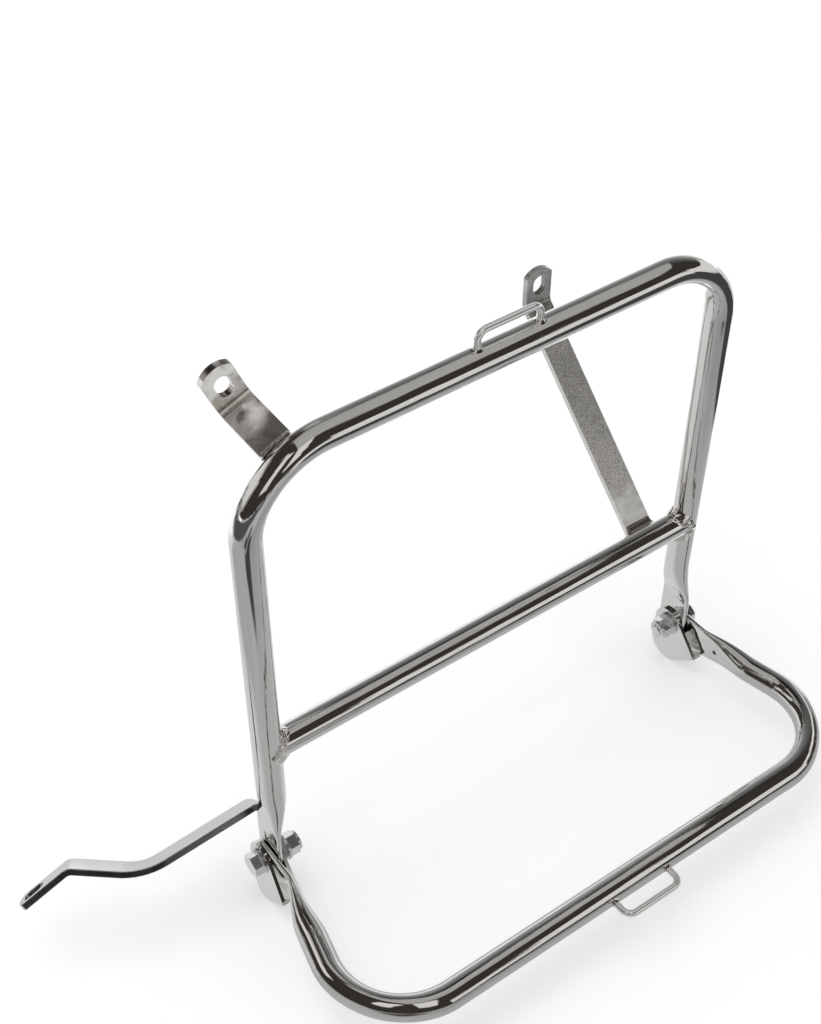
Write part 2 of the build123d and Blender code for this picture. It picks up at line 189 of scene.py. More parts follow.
def apply_modifiers(piece: Piece) -> None:
    """Replaces a piece's mesh by what its modifiers make of it.

    Args:
        piece: The object whose modifiers are used up.
    """
    graph = bpy.context.evaluated_depsgraph_get()
    mesh = bpy.data.meshes.new_from_object(piece.evaluated_get(graph))
    piece.modifiers.clear()
    piece.data = mesh


def mark_drawing(piece: Piece, rings: Rings) -> None:
    """Stores, at each corner of a tube, its turn round the tube and its place along it.

    Args:
        piece: The tube.
        rings: The rings that it was skinned from, in millimetres.
    """
    spots = kdtree.KDTree(sum(len(ring) for ring in rings))
    drawn = []
    along = 0.0
    before = None
    for ring in rings:
        middle = sum(ring, Vector()) / len(ring)
        along += (middle - before).length if before else 0.0
        before = middle
        for side, point in enumerate(ring):
            turn = 2.0 * pi * side / len(ring)
            spots.insert(point * MM, len(drawn))
            drawn.append((cos(turn), sin(turn), along * MM))
    spots.balance()
    attribute = piece.data.attributes.new("drawn", "FLOAT_VECTOR", "POINT")
    for number, corner in enumerate(piece.data.vertices):
        attribute.data[number].vector = drawn[spots.find(corner.co)[1]]


def round_shading(piece: Piece) -> None:
    """Shades a piece smooth up to its sharp edges."""
    piece.data.shade_smooth()
    piece.data.set_sharp_from_angle(angle=SHARP_ANGLE)


def drill(piece: Piece, bores: list[Bore]) -> None:
    """Cuts round holes in a piece.

    Args:
        piece: The object to cut.
        bores: For each hole its two ends and its radius, in millimetres.
    """
    cutters = []
    for start, end, radius in bores:
        along = (end - start).normalized()
        side = along.orthogonal().normalized()
        rings = [circle(at, side, along.cross(side), radius, BORE_SIDES) for at in (start, end)]
        cutter = add_piece("cutter", *skin(rings, False))
        cut = piece.modifiers.new("bore", "BOOLEAN")
        cut.operation, cut.solver, cut.object = "DIFFERENCE", "EXACT", cutter
        cutters.append(cutter)
    apply_modifiers(piece)
    for cutter in cutters:
        bpy.data.meshes.remove(cutter.data)


def hand_over(piece: Piece, body: Body, look: Look, stands_for: str = "") -> None:
    """Gives a piece its material and the body that it rides on.

    Args:
        piece: The finished object.
        body: The body that carries it.
        look: Its material.
        stands_for: The solid that it stands for, if any.
    """
    piece.data.materials.clear()
    piece.data.materials.append(look)
    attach(piece, body.value)
    if stands_for:
        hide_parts(stands_for)
    REPORT.info("%s: %d faces on %s", piece.name, len(piece.data.polygons), body.value)


# Shader graphs


class Graph:
    """Adds linked nodes to one node tree."""

    def __init__(self, tree: Tree) -> None:
        """Keeps the tree and clears it."""
        self.tree = tree
        tree.nodes.clear()

    def add(self, kind: str, sockets: dict | None = None, **settings: object) -> Node:
        """Adds a node.

        Args:
            kind: The node's type.
            sockets: Values or output sockets for its inputs, by name or number.
            settings: Properties of the node.

        Returns:
            The new node.
        """
        node = self.tree.nodes.new(kind)
        for name, value in settings.items():
            setattr(node, name, value)
        for key, value in (sockets or {}).items():
            if isinstance(value, Socket):
                self.join(value, node.inputs[key])
            else:
                node.inputs[key].default_value = value
        return node

    def join(self, source: Socket, target: Socket) -> None:
        """Links an output to an input."""
        self.tree.links.new(source, target)

    def show(self, shader: Node, kind: str = "ShaderNodeOutputMaterial") -> None:
        """Shows a shader as the tree's surface."""
        self.add(kind, {"Surface": shader.outputs[0]})

    def group(self, tree: Tree, values: dict) -> Sockets:
        """Adds a node group with values for its inputs, and gives its outputs by name."""
        return {socket.name: socket for socket in self.add("ShaderNodeGroup", values, node_tree=tree).outputs}

    def place(self) -> Socket:
        """Gives the place on the piece."""
        return self.add("ShaderNodeTexCoord").outputs["Object"]

    def noise(self, place: Socket, scale: Value, detail: float, rough: float = 0.5) -> Socket:
        """Adds fractal noise over a place."""
        sockets = {"Vector": place, "Scale": scale, "Detail": detail, "Roughness": rough}
        return self.add("ShaderNodeTexNoise", sockets).outputs[0]

    def mix_colour(self, share: Value, first: Colour, second: Colour) -> Socket:
        """Mixes two colours, with a share of the second."""
        first, second = (value if isinstance(value, Socket) else (*value, 1.0) for value in (first, second))
        return self.add("ShaderNodeMix", {0: share, 6: first, 7: second}, data_type="RGBA").outputs[2]

    def maths(self, operation: str, first: Value, second: Value) -> Socket:
        """Works out one sum."""
        return self.add("ShaderNodeMath", {0: first, 1: second}, operation=operation).outputs[0]

    def spread(self, value: Socket, low: Value, high: Value, start: float, end: float) -> Socket:
        """Maps a value from the range low to high to the range start to end."""
        return self.add("ShaderNodeMapRange", {0: value, 1: low, 2: high, 3: start, 4: end}).outputs[0]

    def bump(self, height: Socket, depth: float, under: Node | None = None) -> Node:
        """Adds a bump with a depth in millimetres, over another one if given."""
        sockets = {"Strength": 1.0, "Distance": depth * MM, "Height": height}
        return self.add("ShaderNodeBump", sockets | ({"Normal": under.outputs[0]} if under else {}))

    def ramp(self, value: Socket, stops: list[Span]) -> Socket:
        """Turns a value into a grey tone through stops.

        Args:
            value: The socket to turn.
            stops: Positions and tones, in order, from 0 to 1.

        Returns:
            The tone.
        """
        node = self.add("ShaderNodeValToRGB", {0: value})
        elements = node.color_ramp.elements
        for element, (position, tone) in zip(elements, (stops[0], stops[-1])):
            element.position, element.color = position, (tone, tone, tone, 1.0)
        for position, tone in stops[1:-1]:
            elements.new(position).color = (tone, tone, tone, 1.0)
        return node.outputs[0]

    def window(self, value: Socket, span: Span, soft: float) -> Socket:
        """Masks a value's span.

        Args:
            value: The socket to mask.
            span: Where the span starts and ends.
            soft: The width of its soft ends.

        Returns:
            The mask.
        """
        start, end = span
        opening = self.spread(value, start - soft / 2.0, start + soft / 2.0, 0.0, 1.0)
        closing = self.spread(value, end - soft / 2.0, end + soft / 2.0, 1.0, 0.0)
        return self.maths("MULTIPLY", opening, closing)


def new_look(name: str) -> tuple[Look, Graph]:
    """Starts a material.

    Args:
        name: The material's name.

    Returns:
        The material and its empty graph.
    """
    look = bpy.data.materials.new(name)
    look.use_nodes = True
    return look, Graph(look.node_tree)


def new_group(
    name: str, values: tuple[str, ...], outputs: tuple[str, ...], vectors: tuple[str, ...] = ()
) -> tuple[Graph, Sockets, Sockets]:
    """Starts a shader node group.

    Args:
        name: The group's name.
        values: The names of its inputs that take a value.
        outputs: The names of its outputs.
        vectors: The names of its inputs that take a vector.

    Returns:
        Its graph, and the sockets of its inputs and of its outputs by name.
    """
    tree = bpy.data.node_groups.new(name, "ShaderNodeTree")
    graph = Graph(tree)
    for label in vectors:
        tree.interface.new_socket(name=label, in_out="INPUT", socket_type="NodeSocketVector")
    for labels, way in ((values, "INPUT"), (outputs, "OUTPUT")):
        for label in labels:
            tree.interface.new_socket(name=label, in_out=way, socket_type="NodeSocketFloat")
    given, result = graph.add("NodeGroupInput").outputs, graph.add("NodeGroupOutput").inputs
    taken = {label: given[label] for label in vectors + values}
    return graph, taken, {label: result[label] for label in outputs}


@cache
def ripple_group() -> Tree:
    """Makes long shallow waves and fine pits of plated metal, as a height.

    Returns:
        The group.
    """
    graph, given, result = new_group("plating_ripple", ("Scale", "Pits"), ("Height",))
    place = graph.place()
    wave = graph.noise(place, given["Scale"], 1.0, 0.4)
    pits = graph.maths("MULTIPLY", graph.noise(place, 2600.0, 2.0), given["Pits"])
    graph.join(graph.maths("ADD", wave, pits), result["Height"])
    return graph.tree


@cache
def draw_group() -> Tree:
    """Makes fine lines along a drawn tube, left under its plate, as a tone and a height.

    Returns:
        The group.
    """
    graph, given, result = new_group("draw_lines", ("Fineness",), ("Tone", "Height"))
    drawn = graph.add("ShaderNodeAttribute", attribute_name="drawn").outputs["Vector"]
    stretched = graph.add("ShaderNodeMapping", {"Vector": drawn, "Scale": (1.0, 1.0, 1.1)}).outputs[0]
    lines = graph.noise(stretched, given["Fineness"], 2.0, 0.6)
    graph.join(graph.spread(lines, 0.3, 0.7, 0.0, 1.0), result["Tone"])
    graph.join(lines, result["Height"])
    return graph.tree


@cache
def grain_group() -> Tree:
    """Makes the fine speckle of a blasted or rolled surface under its plate.

    Returns:
        The group.
    """
    graph, given, result = new_group("satin_grain", ("Scale", "Contrast"), ("Speckle", "Height"))
    place = graph.place()
    fine = graph.noise(place, given["Scale"], 3.0, 0.7)
    speckle = graph.maths("MULTIPLY", graph.maths("SUBTRACT", fine, 0.5), given["Contrast"])
    cloud = graph.spread(graph.noise(place, 90.0, 3.0), 0.3, 0.7, 0.35, 0.65)
    total = graph.add("ShaderNodeMath", {0: cloud, 1: speckle}, operation="ADD", use_clamp=True)
    graph.join(total.outputs[0], result["Speckle"])
    graph.join(fine, result["Height"])
    return graph.tree


@cache
def edge_group() -> Tree:
    """Makes a mask of outer edges, which run brighter: partly thicker plate and polish, partly a painted
    highlight along the eased edges.

    Returns:
        The group.
    """
    graph, given, result = new_group("edge_rub_and_highlight", ("Start", "End"), ("Mask",))
    point = graph.add("ShaderNodeNewGeometry").outputs["Pointiness"]
    graph.join(graph.spread(point, given["Start"], given["End"], 0.0, 1.0), result["Mask"])
    return graph.tree


@cache
def scratch_group() -> Tree:
    """Makes a mask of hairline wiping marks, broken up over the surface.

    Returns:
        The group.
    """
    graph, given, result = new_group("hairlines", ("Amount",), ("Mask",))
    place = graph.place()
    turned = graph.add(
        "ShaderNodeMapping", {"Vector": place, "Rotation": (0.5, 0.9, 0.3), "Scale": (40.0, 2200.0, 900.0)}
    )
    thin = graph.spread(graph.noise(turned.outputs[0], 1.0, 2.0), 0.62, 0.72, 0.0, 1.0)
    patches = graph.spread(graph.noise(place, 45.0, 1.0), 0.5, 0.7, 0.0, 1.0)
    broken = graph.maths("MULTIPLY", thin, patches)
    graph.join(graph.maths("MULTIPLY", broken, given["Amount"]), result["Mask"])
    return graph.tree


@cache
def reflection_patch_group() -> Tree:
    """Makes a mask of a soft uneven patch about a point, where dark reflections and pale highlights are
    painted.

    Returns:
        The group.
    """
    graph, given, result = new_group("painted_reflection_patch", ("Radius",), ("Mask",), ("Centre",))
    place = graph.place()
    away = graph.add("ShaderNodeVectorMath", {0: place, 1: given["Centre"]}, operation="DISTANCE")
    share = graph.maths("DIVIDE", away.outputs["Value"], given["Radius"])
    ragged = graph.maths("ADD", share, graph.spread(graph.noise(place, 160.0, 2.0), 0.3, 0.7, -0.3, 0.3))
    graph.join(graph.spread(ragged, 0.35, 1.0, 1.0, 0.0), result["Mask"])
    return graph.tree


# Finishes


@dataclass(frozen=True)
class ReflectionPatch:
    """One uneven patch where light is painted, darker or paler: its centre and radius in millimetres, its
    strength and its colour.
    """

    centre: Spot
    radius: float
    strength: float
    colour: Spot = (0.24, 0.205, 0.18)

    def share(self, graph: Graph) -> Socket:
        """Works out how much of the patch shows.

        Args:
            graph: The material's graph.

        Returns:
            The share.
        """
        centre = [value * MM for value in self.centre]
        mask = graph.group(reflection_patch_group(), {"Centre": centre, "Radius": self.radius * MM})["Mask"]
        return graph.maths("MULTIPLY", mask, self.strength)


@dataclass(frozen=True)
class MetalFinish:
    """A plated metal: its colours, its least and greatest roughness, its grain and waviness.

    Depths are in millimetres. Its dark patches paint dark reflections on the plate, and its pale patches
    paint highlights and also dull it.
    """

    name: str
    colour: Spot
    shade: Spot
    edge: Spot
    gloss: Span
    grain_scale: float = 900.0
    grain_contrast: float = 0.5
    grain_depth: float = 0.0
    wave_scale: float = 60.0
    wave_depth: float = 0.05
    pits: float = 0.02
    hairlines: float = 0.0
    draw_depth: float = 0.0
    metallic: float = 1.0
    dark_reflections: tuple[ReflectionPatch, ...] = ()
    pale_highlights: tuple[ReflectionPatch, ...] = ()
    edge_span: Span = (0.515, 0.6)
    fineness: float = 11.0
    speckle_span: Span = (0.2, 0.8)
    hairline_rough: float = 0.12
    highlight_rough: float = 0.3

    def material(self) -> Look:
        """Builds the finish.

        Returns:
            The material.
        """
        look, graph = new_look(self.name)
        grain = graph.group(grain_group(), {"Scale": self.grain_scale, "Contrast": self.grain_contrast})
        edge = graph.group(edge_group(), dict(zip(("Start", "End"), self.edge_span)))
        lines = graph.group(scratch_group(), {"Amount": self.hairlines})
        ripple = graph.group(ripple_group(), {"Scale": self.wave_scale, "Pits": self.pits})
        tone = grain["Speckle"]
        bump = graph.bump(ripple["Height"], self.wave_depth)
        if self.draw_depth:
            drawn = graph.group(draw_group(), {"Fineness": self.fineness})
            tone = graph.maths("MULTIPLY", graph.maths("ADD", tone, drawn["Tone"]), 0.5)
            bump = graph.bump(drawn["Height"], self.draw_depth, bump)
        bump = graph.bump(grain["Height"], self.grain_depth, bump)
        colour = graph.mix_colour(tone, self.shade, self.colour)
        rough = graph.spread(grain["Speckle"], *self.speckle_span, *self.gloss)
        rough = graph.maths("ADD", rough, graph.maths("MULTIPLY", lines["Mask"], self.hairline_rough))
        metal: Value = self.metallic
        # Dark patches: painted dark reflections.
        for patch in self.dark_reflections:
            colour = graph.mix_colour(patch.share(graph), colour, patch.colour)
        # Pale patches: painted highlights, which also take metal away and add roughness.
        for patch in self.pale_highlights:
            share = patch.share(graph)
            colour = graph.mix_colour(share, colour, patch.colour)
            metal = graph.maths("SUBTRACT", metal, share)
            rough = graph.maths("ADD", rough, graph.maths("MULTIPLY", share, self.highlight_rough))
        # Brighter outer edges: partly plate and polish, partly a painted highlight.
        colour = graph.mix_colour(edge["Mask"], colour, self.edge)
        sockets = {"Base Color": colour, "Metallic": metal, "Roughness": rough, "Normal": bump.outputs[0]}
        graph.show(graph.add("ShaderNodeBsdfPrincipled", sockets))
        return look


@dataclass(frozen=True)
class NylonFinish:
    """The pale nylon of a lock nut's ring, with its grain's depth in millimetres."""

    name: str = "nylon_ring"
    colour: Spot = (0.80, 0.80, 0.77)
    shade: Spot = (0.66, 0.66, 0.63)
    rough: float = 0.45
    soft: float = 0.15
    soft_reach: Spot = (0.0008, 0.0008, 0.0006)
    grain_scale: float = 1800.0
    grain_contrast: float = 0.6
    grain_depth: float = 0.02

    def material(self) -> Look:
        """Builds the finish.

        Returns:
            The material.
        """
        look, graph = new_look(self.name)
        grain = graph.group(grain_group(), {"Scale": self.grain_scale, "Contrast": self.grain_contrast})
        sockets = {
            "Base Color": graph.mix_colour(grain["Speckle"], self.shade, self.colour),
            "Roughness": self.rough,
            "Subsurface Weight": self.soft,
            "Subsurface Radius": self.soft_reach,
            "Normal": graph.bump(grain["Height"], self.grain_depth).outputs[0],
        }
        graph.show(graph.add("ShaderNodeBsdfPrincipled", sockets))
        return look


CHROME = MetalFinish(
    "polished_chrome", (0.83, 0.82, 0.805), (0.71, 0.70, 0.685), (0.84, 0.835, 0.82), (0.025, 0.06),
    grain_scale=700.0, grain_contrast=0.25, wave_scale=42.0, pits=0.003, hairlines=0.8, draw_depth=0.05,
)
# A paler, partly non-metal copy of the chrome for the wire loops: a painted brighter reflection.
WIRE_CHROME_SHEEN = MetalFinish(
    "wire_chrome_painted_sheen", (0.93, 0.92, 0.905), (0.84, 0.83, 0.815), (0.93, 0.925, 0.91), (0.03, 0.08),
    grain_scale=700.0, grain_contrast=0.25, pits=0.003, hairlines=0.4, draw_depth=0.006, metallic=0.74,
)
CLIP_CHROME = MetalFinish(
    "pressed_sheet_chrome", (0.79, 0.785, 0.775), (0.72, 0.715, 0.70), (0.86, 0.855, 0.845), (0.07, 0.14),
    grain_depth=0.002, wave_scale=70.0, hairlines=1.0,
)
WELD_CHROME = MetalFinish(
    "plated_weld", (0.77, 0.755, 0.735), (0.62, 0.59, 0.555), (0.84, 0.83, 0.81), (0.05, 0.12),
    grain_scale=600.0, grain_contrast=0.6, grain_depth=0.004, wave_scale=260.0, wave_depth=0.12,
)
FOOT_WELD = MetalFinish(
    "dark_foot_weld", (0.50, 0.47, 0.44), (0.34, 0.31, 0.285), (0.70, 0.68, 0.65), (0.16, 0.3),
    grain_scale=500.0, grain_contrast=1.2, grain_depth=0.01, wave_scale=160.0, pits=0.05,
)
# The pale colour of the painted highlights.
PALE_HIGHLIGHT = (0.90, 0.89, 0.87)
LONG_SATIN = MetalFinish(
    "grainy_satin_plate", (0.84, 0.82, 0.79), (0.55, 0.53, 0.505), (0.88, 0.87, 0.85), (0.24, 0.40),
    grain_scale=1300.0, grain_contrast=5.0, grain_depth=0.03, pits=0.1, hairlines=0.4, metallic=0.76,
    # The darker tab face is a painted dark reflection; the paler patches at the foot are painted reflections.
    dark_reflections=(ReflectionPatch((117.6, 114.0, 208.0), 26.0, 0.9, (0.22, 0.21, 0.2)),),
    pale_highlights=(ReflectionPatch((117.6, 9.0, 99.0), 30.0, 0.36, PALE_HIGHLIGHT), ReflectionPatch((117.6, 34.0, 125.0), 46.0, 0.07, PALE_HIGHLIGHT)),
)
UPPER_SATIN = MetalFinish(
    "warm_satin_plate", (0.71, 0.672, 0.625), (0.45, 0.415, 0.375), (0.86, 0.85, 0.83), (0.11, 0.2),
    grain_scale=1300.0, grain_contrast=2.4, grain_depth=0.008, wave_depth=0.06, pits=0.04, hairlines=0.6,
    metallic=0.84,
    # Dark brown patches over the run and the bend: painted dark reflections.
    dark_reflections=(
        ReflectionPatch((-115.9, 18.0, 292.6), 15.0, 0.9),
        ReflectionPatch((-125.8, 9.0, 288.9), 11.0, 0.55),
        ReflectionPatch((-128.0, 28.0, 288.0), 8.0, 0.75),
        ReflectionPatch((-126.0, 44.0, 293.0), 9.0, 0.4),
    ),
    # Pale patches round the tab's slot and on the run: painted highlights.
    pale_highlights=(ReflectionPatch((-130.5, 44.0, 307.0), 17.0, 0.85, PALE_HIGHLIGHT), ReflectionPatch((-118.8, 31.6, 291.7), 9.0, 0.4, PALE_HIGHLIGHT)),
)
LOWER_SATIN = MetalFinish(
    "smooth_strap_plate", (0.76, 0.755, 0.745), (0.66, 0.655, 0.645), (0.86, 0.855, 0.845), (0.10, 0.18),
    grain_scale=1000.0, grain_contrast=0.4, grain_depth=0.004, wave_depth=0.06, hairlines=0.6,
)
ZINC = MetalFinish(
    "bright_zinc", (0.80, 0.805, 0.81), (0.66, 0.665, 0.67), (0.92, 0.92, 0.92), (0.14, 0.26),
    grain_scale=1400.0, grain_depth=0.003, wave_scale=220.0, wave_depth=0.03, pits=0.03, hairlines=0.6,
    metallic=0.93,
)
SHEARED_EDGE = MetalFinish(
    "sheared_edge_plate", (0.25, 0.243, 0.236), (0.12, 0.117, 0.114), (0.80, 0.795, 0.785), (0.22, 0.34),
    grain_contrast=0.8, grain_depth=0.01, pits=0.05, hairlines=0.2,
)
# Dark rim on the upper tab's upward-facing faces: a painted dark reflection.
TAB_RIM_DARK_REFLECTION = MetalFinish(
    "tab_rim_painted_dark_reflection", (0.34, 0.312, 0.284), (0.17, 0.155, 0.143), (0.80, 0.795, 0.785), (0.2, 0.34),
    grain_contrast=1.6, grain_depth=0.01, pits=0.05, hairlines=0.4,
)
NYLON = NylonFinish()


@cache
def look_of(finish: MetalFinish | NylonFinish) -> Look:
    """Gives the one material of a finish, built on first use."""
    return finish.material()


# Tubes with pressed ends


@dataclass
class Ring:
    """One cross-section of a hoop's tube, in millimetres.

    Half sizes thick and broad run along inward and wide, flat lengthens the section along wide, and
    past is how far it lies beyond the hinge line on the plate's round end.
    """

    centre: Vector
    inward: Vector
    wide: Vector
    thick: float
    broad: float
    flat: float = 0.0
    past: float = 0.0

    def points(self) -> list[Vector]:
        """Lists the points round the section.

        Returns:
            The points.
        """
        half = [FLAT_TURN * (2.0 * step / FLAT_STEPS - 1.0) for step in range(FLAT_STEPS)]
        half += [FLAT_TURN + (pi - 2.0 * FLAT_TURN) * step / SIDE_STEPS for step in range(SIDE_STEPS)]
        spots = []
        for turn in half + [turn + pi for turn in half]:
            lean = turn if turn <= pi else turn - 2.0 * pi
            side = copysign(min(1.0, min(abs(lean), pi - abs(lean)) / FLAT_TURN), lean)
            x = self.thick * cos(turn)
            y = self.broad * sin(turn) + self.flat * side
            if self.past > 0.0:
                reach = self.broad + self.flat
                y *= sqrt(reach * reach - self.past * self.past) / reach
                over = max(0.0, sqrt(self.past * self.past + y * y) - self.flat)
                x = copysign(sqrt(max(0.0, self.thick * self.thick - over * over)), x)
            spots.append(self.centre + self.inward * x + self.wide * y)
        return spots

    def mirrored(self) -> "Ring":
        """Gives the same section on the other side."""
        return replace(self, centre=self.centre * MIRROR, inward=self.inward * MIRROR)


@dataclass
class PressedHoop:
    """A bent tube hoop whose two ends are pressed flat and bored for the hinge bolts, in millimetres.

    Heights run from the hinge line to the bar, along up, in the hoop's own plane. The pressed stretches
    bow sideways by dodge, so that the two hoops pass each other when the shelf folds up.
    """

    name: str
    node: str
    body: Body
    up: Vector
    wide: Vector
    plate_x: float
    round_x: float
    round_height: float
    bar_height: float
    dodge: float
    splay: float = 0.0
    sway: float = 0.0
    vented: bool = False
    marks: tuple[Bore, ...] = ()
    bend_radius: float = BEND_RADIUS
    bend_squeeze: float = 1.1
    bend_settle: float = radians(44.0)
    plate_reach: float = PLATE_REACH
    plate_thickness: float = 3.0
    plate_width: float = 22.0
    opening: float = 0.55
    bore_radius: float = 4.05
    bore_depth: float = 4.0
    vent_reach: float = 36.0
    vent_radius: float = 1.5
    vent_depth: float = 9.0
    tip_share: float = 0.97
    bar_steps: int = 12
    bend_steps: int = 64
    arm_steps: int = 8
    press_steps: int = 44
    plate_steps: int = 3
    tip_steps: int = 12

    def at(self, x: float, height: float) -> Vector:
        """Places a point of the hoop's plane, from its place along the hinge line and its height."""
        return X_AXIS * x + self.up * height

    def ring(self, spot: Span, turn: float, thick: float, broad: float, flat: float = 0.0) -> Ring:
        """Makes a section centred on a spot of the plane, whose inward side faces a turn from +X."""
        return Ring(self.at(*spot), self.at(cos(turn), sin(turn)), self.wide, thick, broad, flat)

    def pressed(self, share: float) -> Ring:
        """Makes a section of the pressed stretch.

        Args:
            share: 0 at the plate and 1 at the round tube.

        Returns:
            The section.
        """
        plate = self.plate_thickness / 2.0
        swing = blend(share, smooth_step(share), self.sway)
        x = blend(self.plate_x, self.round_x, swing) + self.dodge * sin(pi * share) ** 2
        height = blend(self.plate_reach, self.round_height, share)
        opened = blend(sin(share * pi / 2.0), smooth_step(share), self.opening)
        thick = blend(plate, TUBE_RADIUS, opened)
        flat = (self.plate_width / 2.0 - plate) * (1.0 - opened)
        return self.ring((x, height), pi - self.splay * share, thick, thick, flat)

    def half(self) -> list[Ring]:
        """Lists the sections from the middle of the bar to the tip of the right end.

        Returns:
            The sections.
        """
        turn = pi / 2.0 + self.splay
        lead = self.bend_radius * tan(turn / 2.0)
        corner = self.round_x + (self.bar_height - self.round_height) * tan(self.splay)
        start = (corner - lead * sin(self.splay), self.bar_height - lead * cos(self.splay))
        facing = pi - self.splay
        centre = (start[0] + self.bend_radius * cos(facing), start[1] + self.bend_radius * sin(facing))
        rings = []
        for step in range(self.bar_steps):
            spot = ((corner - lead) * step / self.bar_steps, self.bar_height)
            rings.append(self.ring(spot, 1.5 * pi, TUBE_RADIUS, TUBE_RADIUS))
        for step in range(self.bend_steps + 1):
            angle = turn * (1.0 - step / self.bend_steps)
            squeeze = self.bend_squeeze * smooth_step(min(angle, turn - angle) / self.bend_settle)
            radius = self.bend_radius - squeeze / 2.0
            way = facing + angle
            spot = (centre[0] - radius * cos(way), centre[1] - radius * sin(way))
            rings.append(self.ring(spot, way, TUBE_RADIUS - squeeze, TUBE_RADIUS + squeeze / 4.0))
        for step in range(1, self.arm_steps):
            share = step / self.arm_steps
            spot = (blend(start[0], self.round_x, share), blend(start[1], self.round_height, share))
            rings.append(self.ring(spot, facing, TUBE_RADIUS, TUBE_RADIUS))
        rings += [self.pressed(1.0 - step / self.press_steps) for step in range(self.press_steps + 1)]
        plate = self.plate_thickness / 2.0
        flat = self.plate_width / 2.0 - plate
        for step in range(1, self.plate_steps + 1):
            spot = (self.plate_x, self.plate_reach * (1.0 - step / self.plate_steps))
            rings.append(self.ring(spot, pi, plate, plate, flat))
        for step in range(1, self.tip_steps + 1):
            past = self.plate_width / 2.0 * sin(pi / 2.0 * self.tip_share * step / self.tip_steps)
            rings.append(replace(self.ring((self.plate_x, -past), pi, plate, plate, flat), past=past))
        return rings

    def bores(self) -> list[Bore]:
        """Lists the hinge bores, the vent holes inside both ends, and the press marks.

        Returns:
            For each hole its two ends and its radius.
        """
        share = (self.vent_reach - self.plate_reach) / (self.round_height - self.plate_reach)
        middle = self.pressed(share).centre
        found = list(self.marks)
        for side in (Vector((1.0, 1.0, 1.0)), MIRROR):
            ends = [self.at(self.plate_x + past, 0.0) * side for past in (-self.bore_depth, self.bore_depth)]
            found.append((ends[0], ends[1], self.bore_radius))
            if self.vented:
                found.append((middle * side, (middle - X_AXIS * self.vent_depth) * side, self.vent_radius))
        return found

    def build(self) -> None:
        """Builds the hoop in place of its solid."""
        right = self.half()
        rings = [ring.points() for ring in [ring.mirrored() for ring in reversed(right[1:])] + right]
        tube = add_piece(self.name, *skin(rings, False))
        drill(tube, self.bores())
        mark_drawing(tube, rings)
        round_shading(tube)
        hand_over(tube, self.body, look_of(CHROME), self.node)


# Welds, and the pieces that they hold


@dataclass
class Seam:
    """One cross-section of a weld: its toe on each surface, the corner between and the way out of it."""

    toe: Vector
    corner: Vector
    far_toe: Vector
    outward: Vector


@dataclass
class WeldBead:
    """A fillet of weld metal, rippled as it was laid, in millimetres.

    Its ripples stand a pitch apart, wander and skew, and its toes are tucked under the surfaces.
    """

    name: str
    body: Body
    lump: float
    pitch: float = 4.6
    fill: float = 0.22
    root: float = 0.9
    finish: MetalFinish = WELD_CHROME
    wander: float = 2.4
    wander_scale: float = 0.31
    skew: float = 1.6
    ripple: float = 0.45
    rough: float = 0.9
    rough_scale: float = 0.5
    tuck: float = 0.06
    steps: int = 10

    def section(self, seam: Seam, along: float) -> list[Vector]:
        """Lists the points of one cross-section.

        Args:
            seam: Where the section lies.
            along: How far along the bead it lies.

        Returns:
            Its points, with the hidden root last.
        """
        size = ((seam.toe - seam.corner).length + (seam.far_toe - seam.corner).length) / 2.0
        middle = seam.corner + seam.outward * (self.fill * size)
        phase = 2.0 * pi * along / self.pitch + self.wander * noise.noise(seam.corner * self.wander_scale)
        spots = []
        for step in range(self.steps + 1):
            share = step / self.steps
            base = seam.toe * (1 - share) ** 2 + middle * (2 * share * (1 - share)) + seam.far_toe * share**2
            bulge = 4.0 * share * (1.0 - share)
            wave = 0.5 + 0.5 * sin(phase + self.skew * bulge)
            rough = self.rough * noise.noise(base * self.rough_scale)
            swell = self.lump * bulge * (blend(1.0, wave, self.ripple) + rough)
            spots.append(base + seam.outward * (swell - self.tuck * (1 - bulge)))
        spots.append(seam.corner - seam.outward * self.root)
        return spots

    def build(self, seams: list[Seam], closed: bool) -> None:
        """Builds the bead along its seams.

        Args:
            seams: The cross-sections in order.
            closed: Whether the bead runs all the way round.
        """
        along = 0.0
        rings = []
        for number, seam in enumerate(seams):
            if number:
                along += (seam.corner - seams[number - 1].corner).length
            rings.append(self.section(seam, along))
        bead = add_piece(self.name, *skin(rings, closed))
        round_shading(bead)
        hand_over(bead, self.body, look_of(self.finish))


def bar_seam(
    axis: Vector, side: Vector, up: Vector, turn: float, way: float, along: Vector, size: float
) -> Seam:
    """Places a weld's section where a strap's face meets a round bar.

    Args:
        axis: The point of the bar's axis in the section.
        side: The direction that turns are measured from.
        up: The direction of a quarter turn.
        turn: Where the face meets the bar.
        way: 1 if the weld lies above the face, -1 below.
        along: The direction of the face, away from the bar.
        size: The weld's leg.

    Returns:
        The section.
    """
    turns = (turn, turn + way * size / TUBE_RADIUS)
    corner, far_toe = (axis + (side * cos(angle) + up * sin(angle)) * TUBE_RADIUS for angle in turns)
    toe = corner + along * size
    outward = ((toe - corner).normalized() + (far_toe - corner).normalized()).normalized()
    return Seam(toe, corner, far_toe, outward)


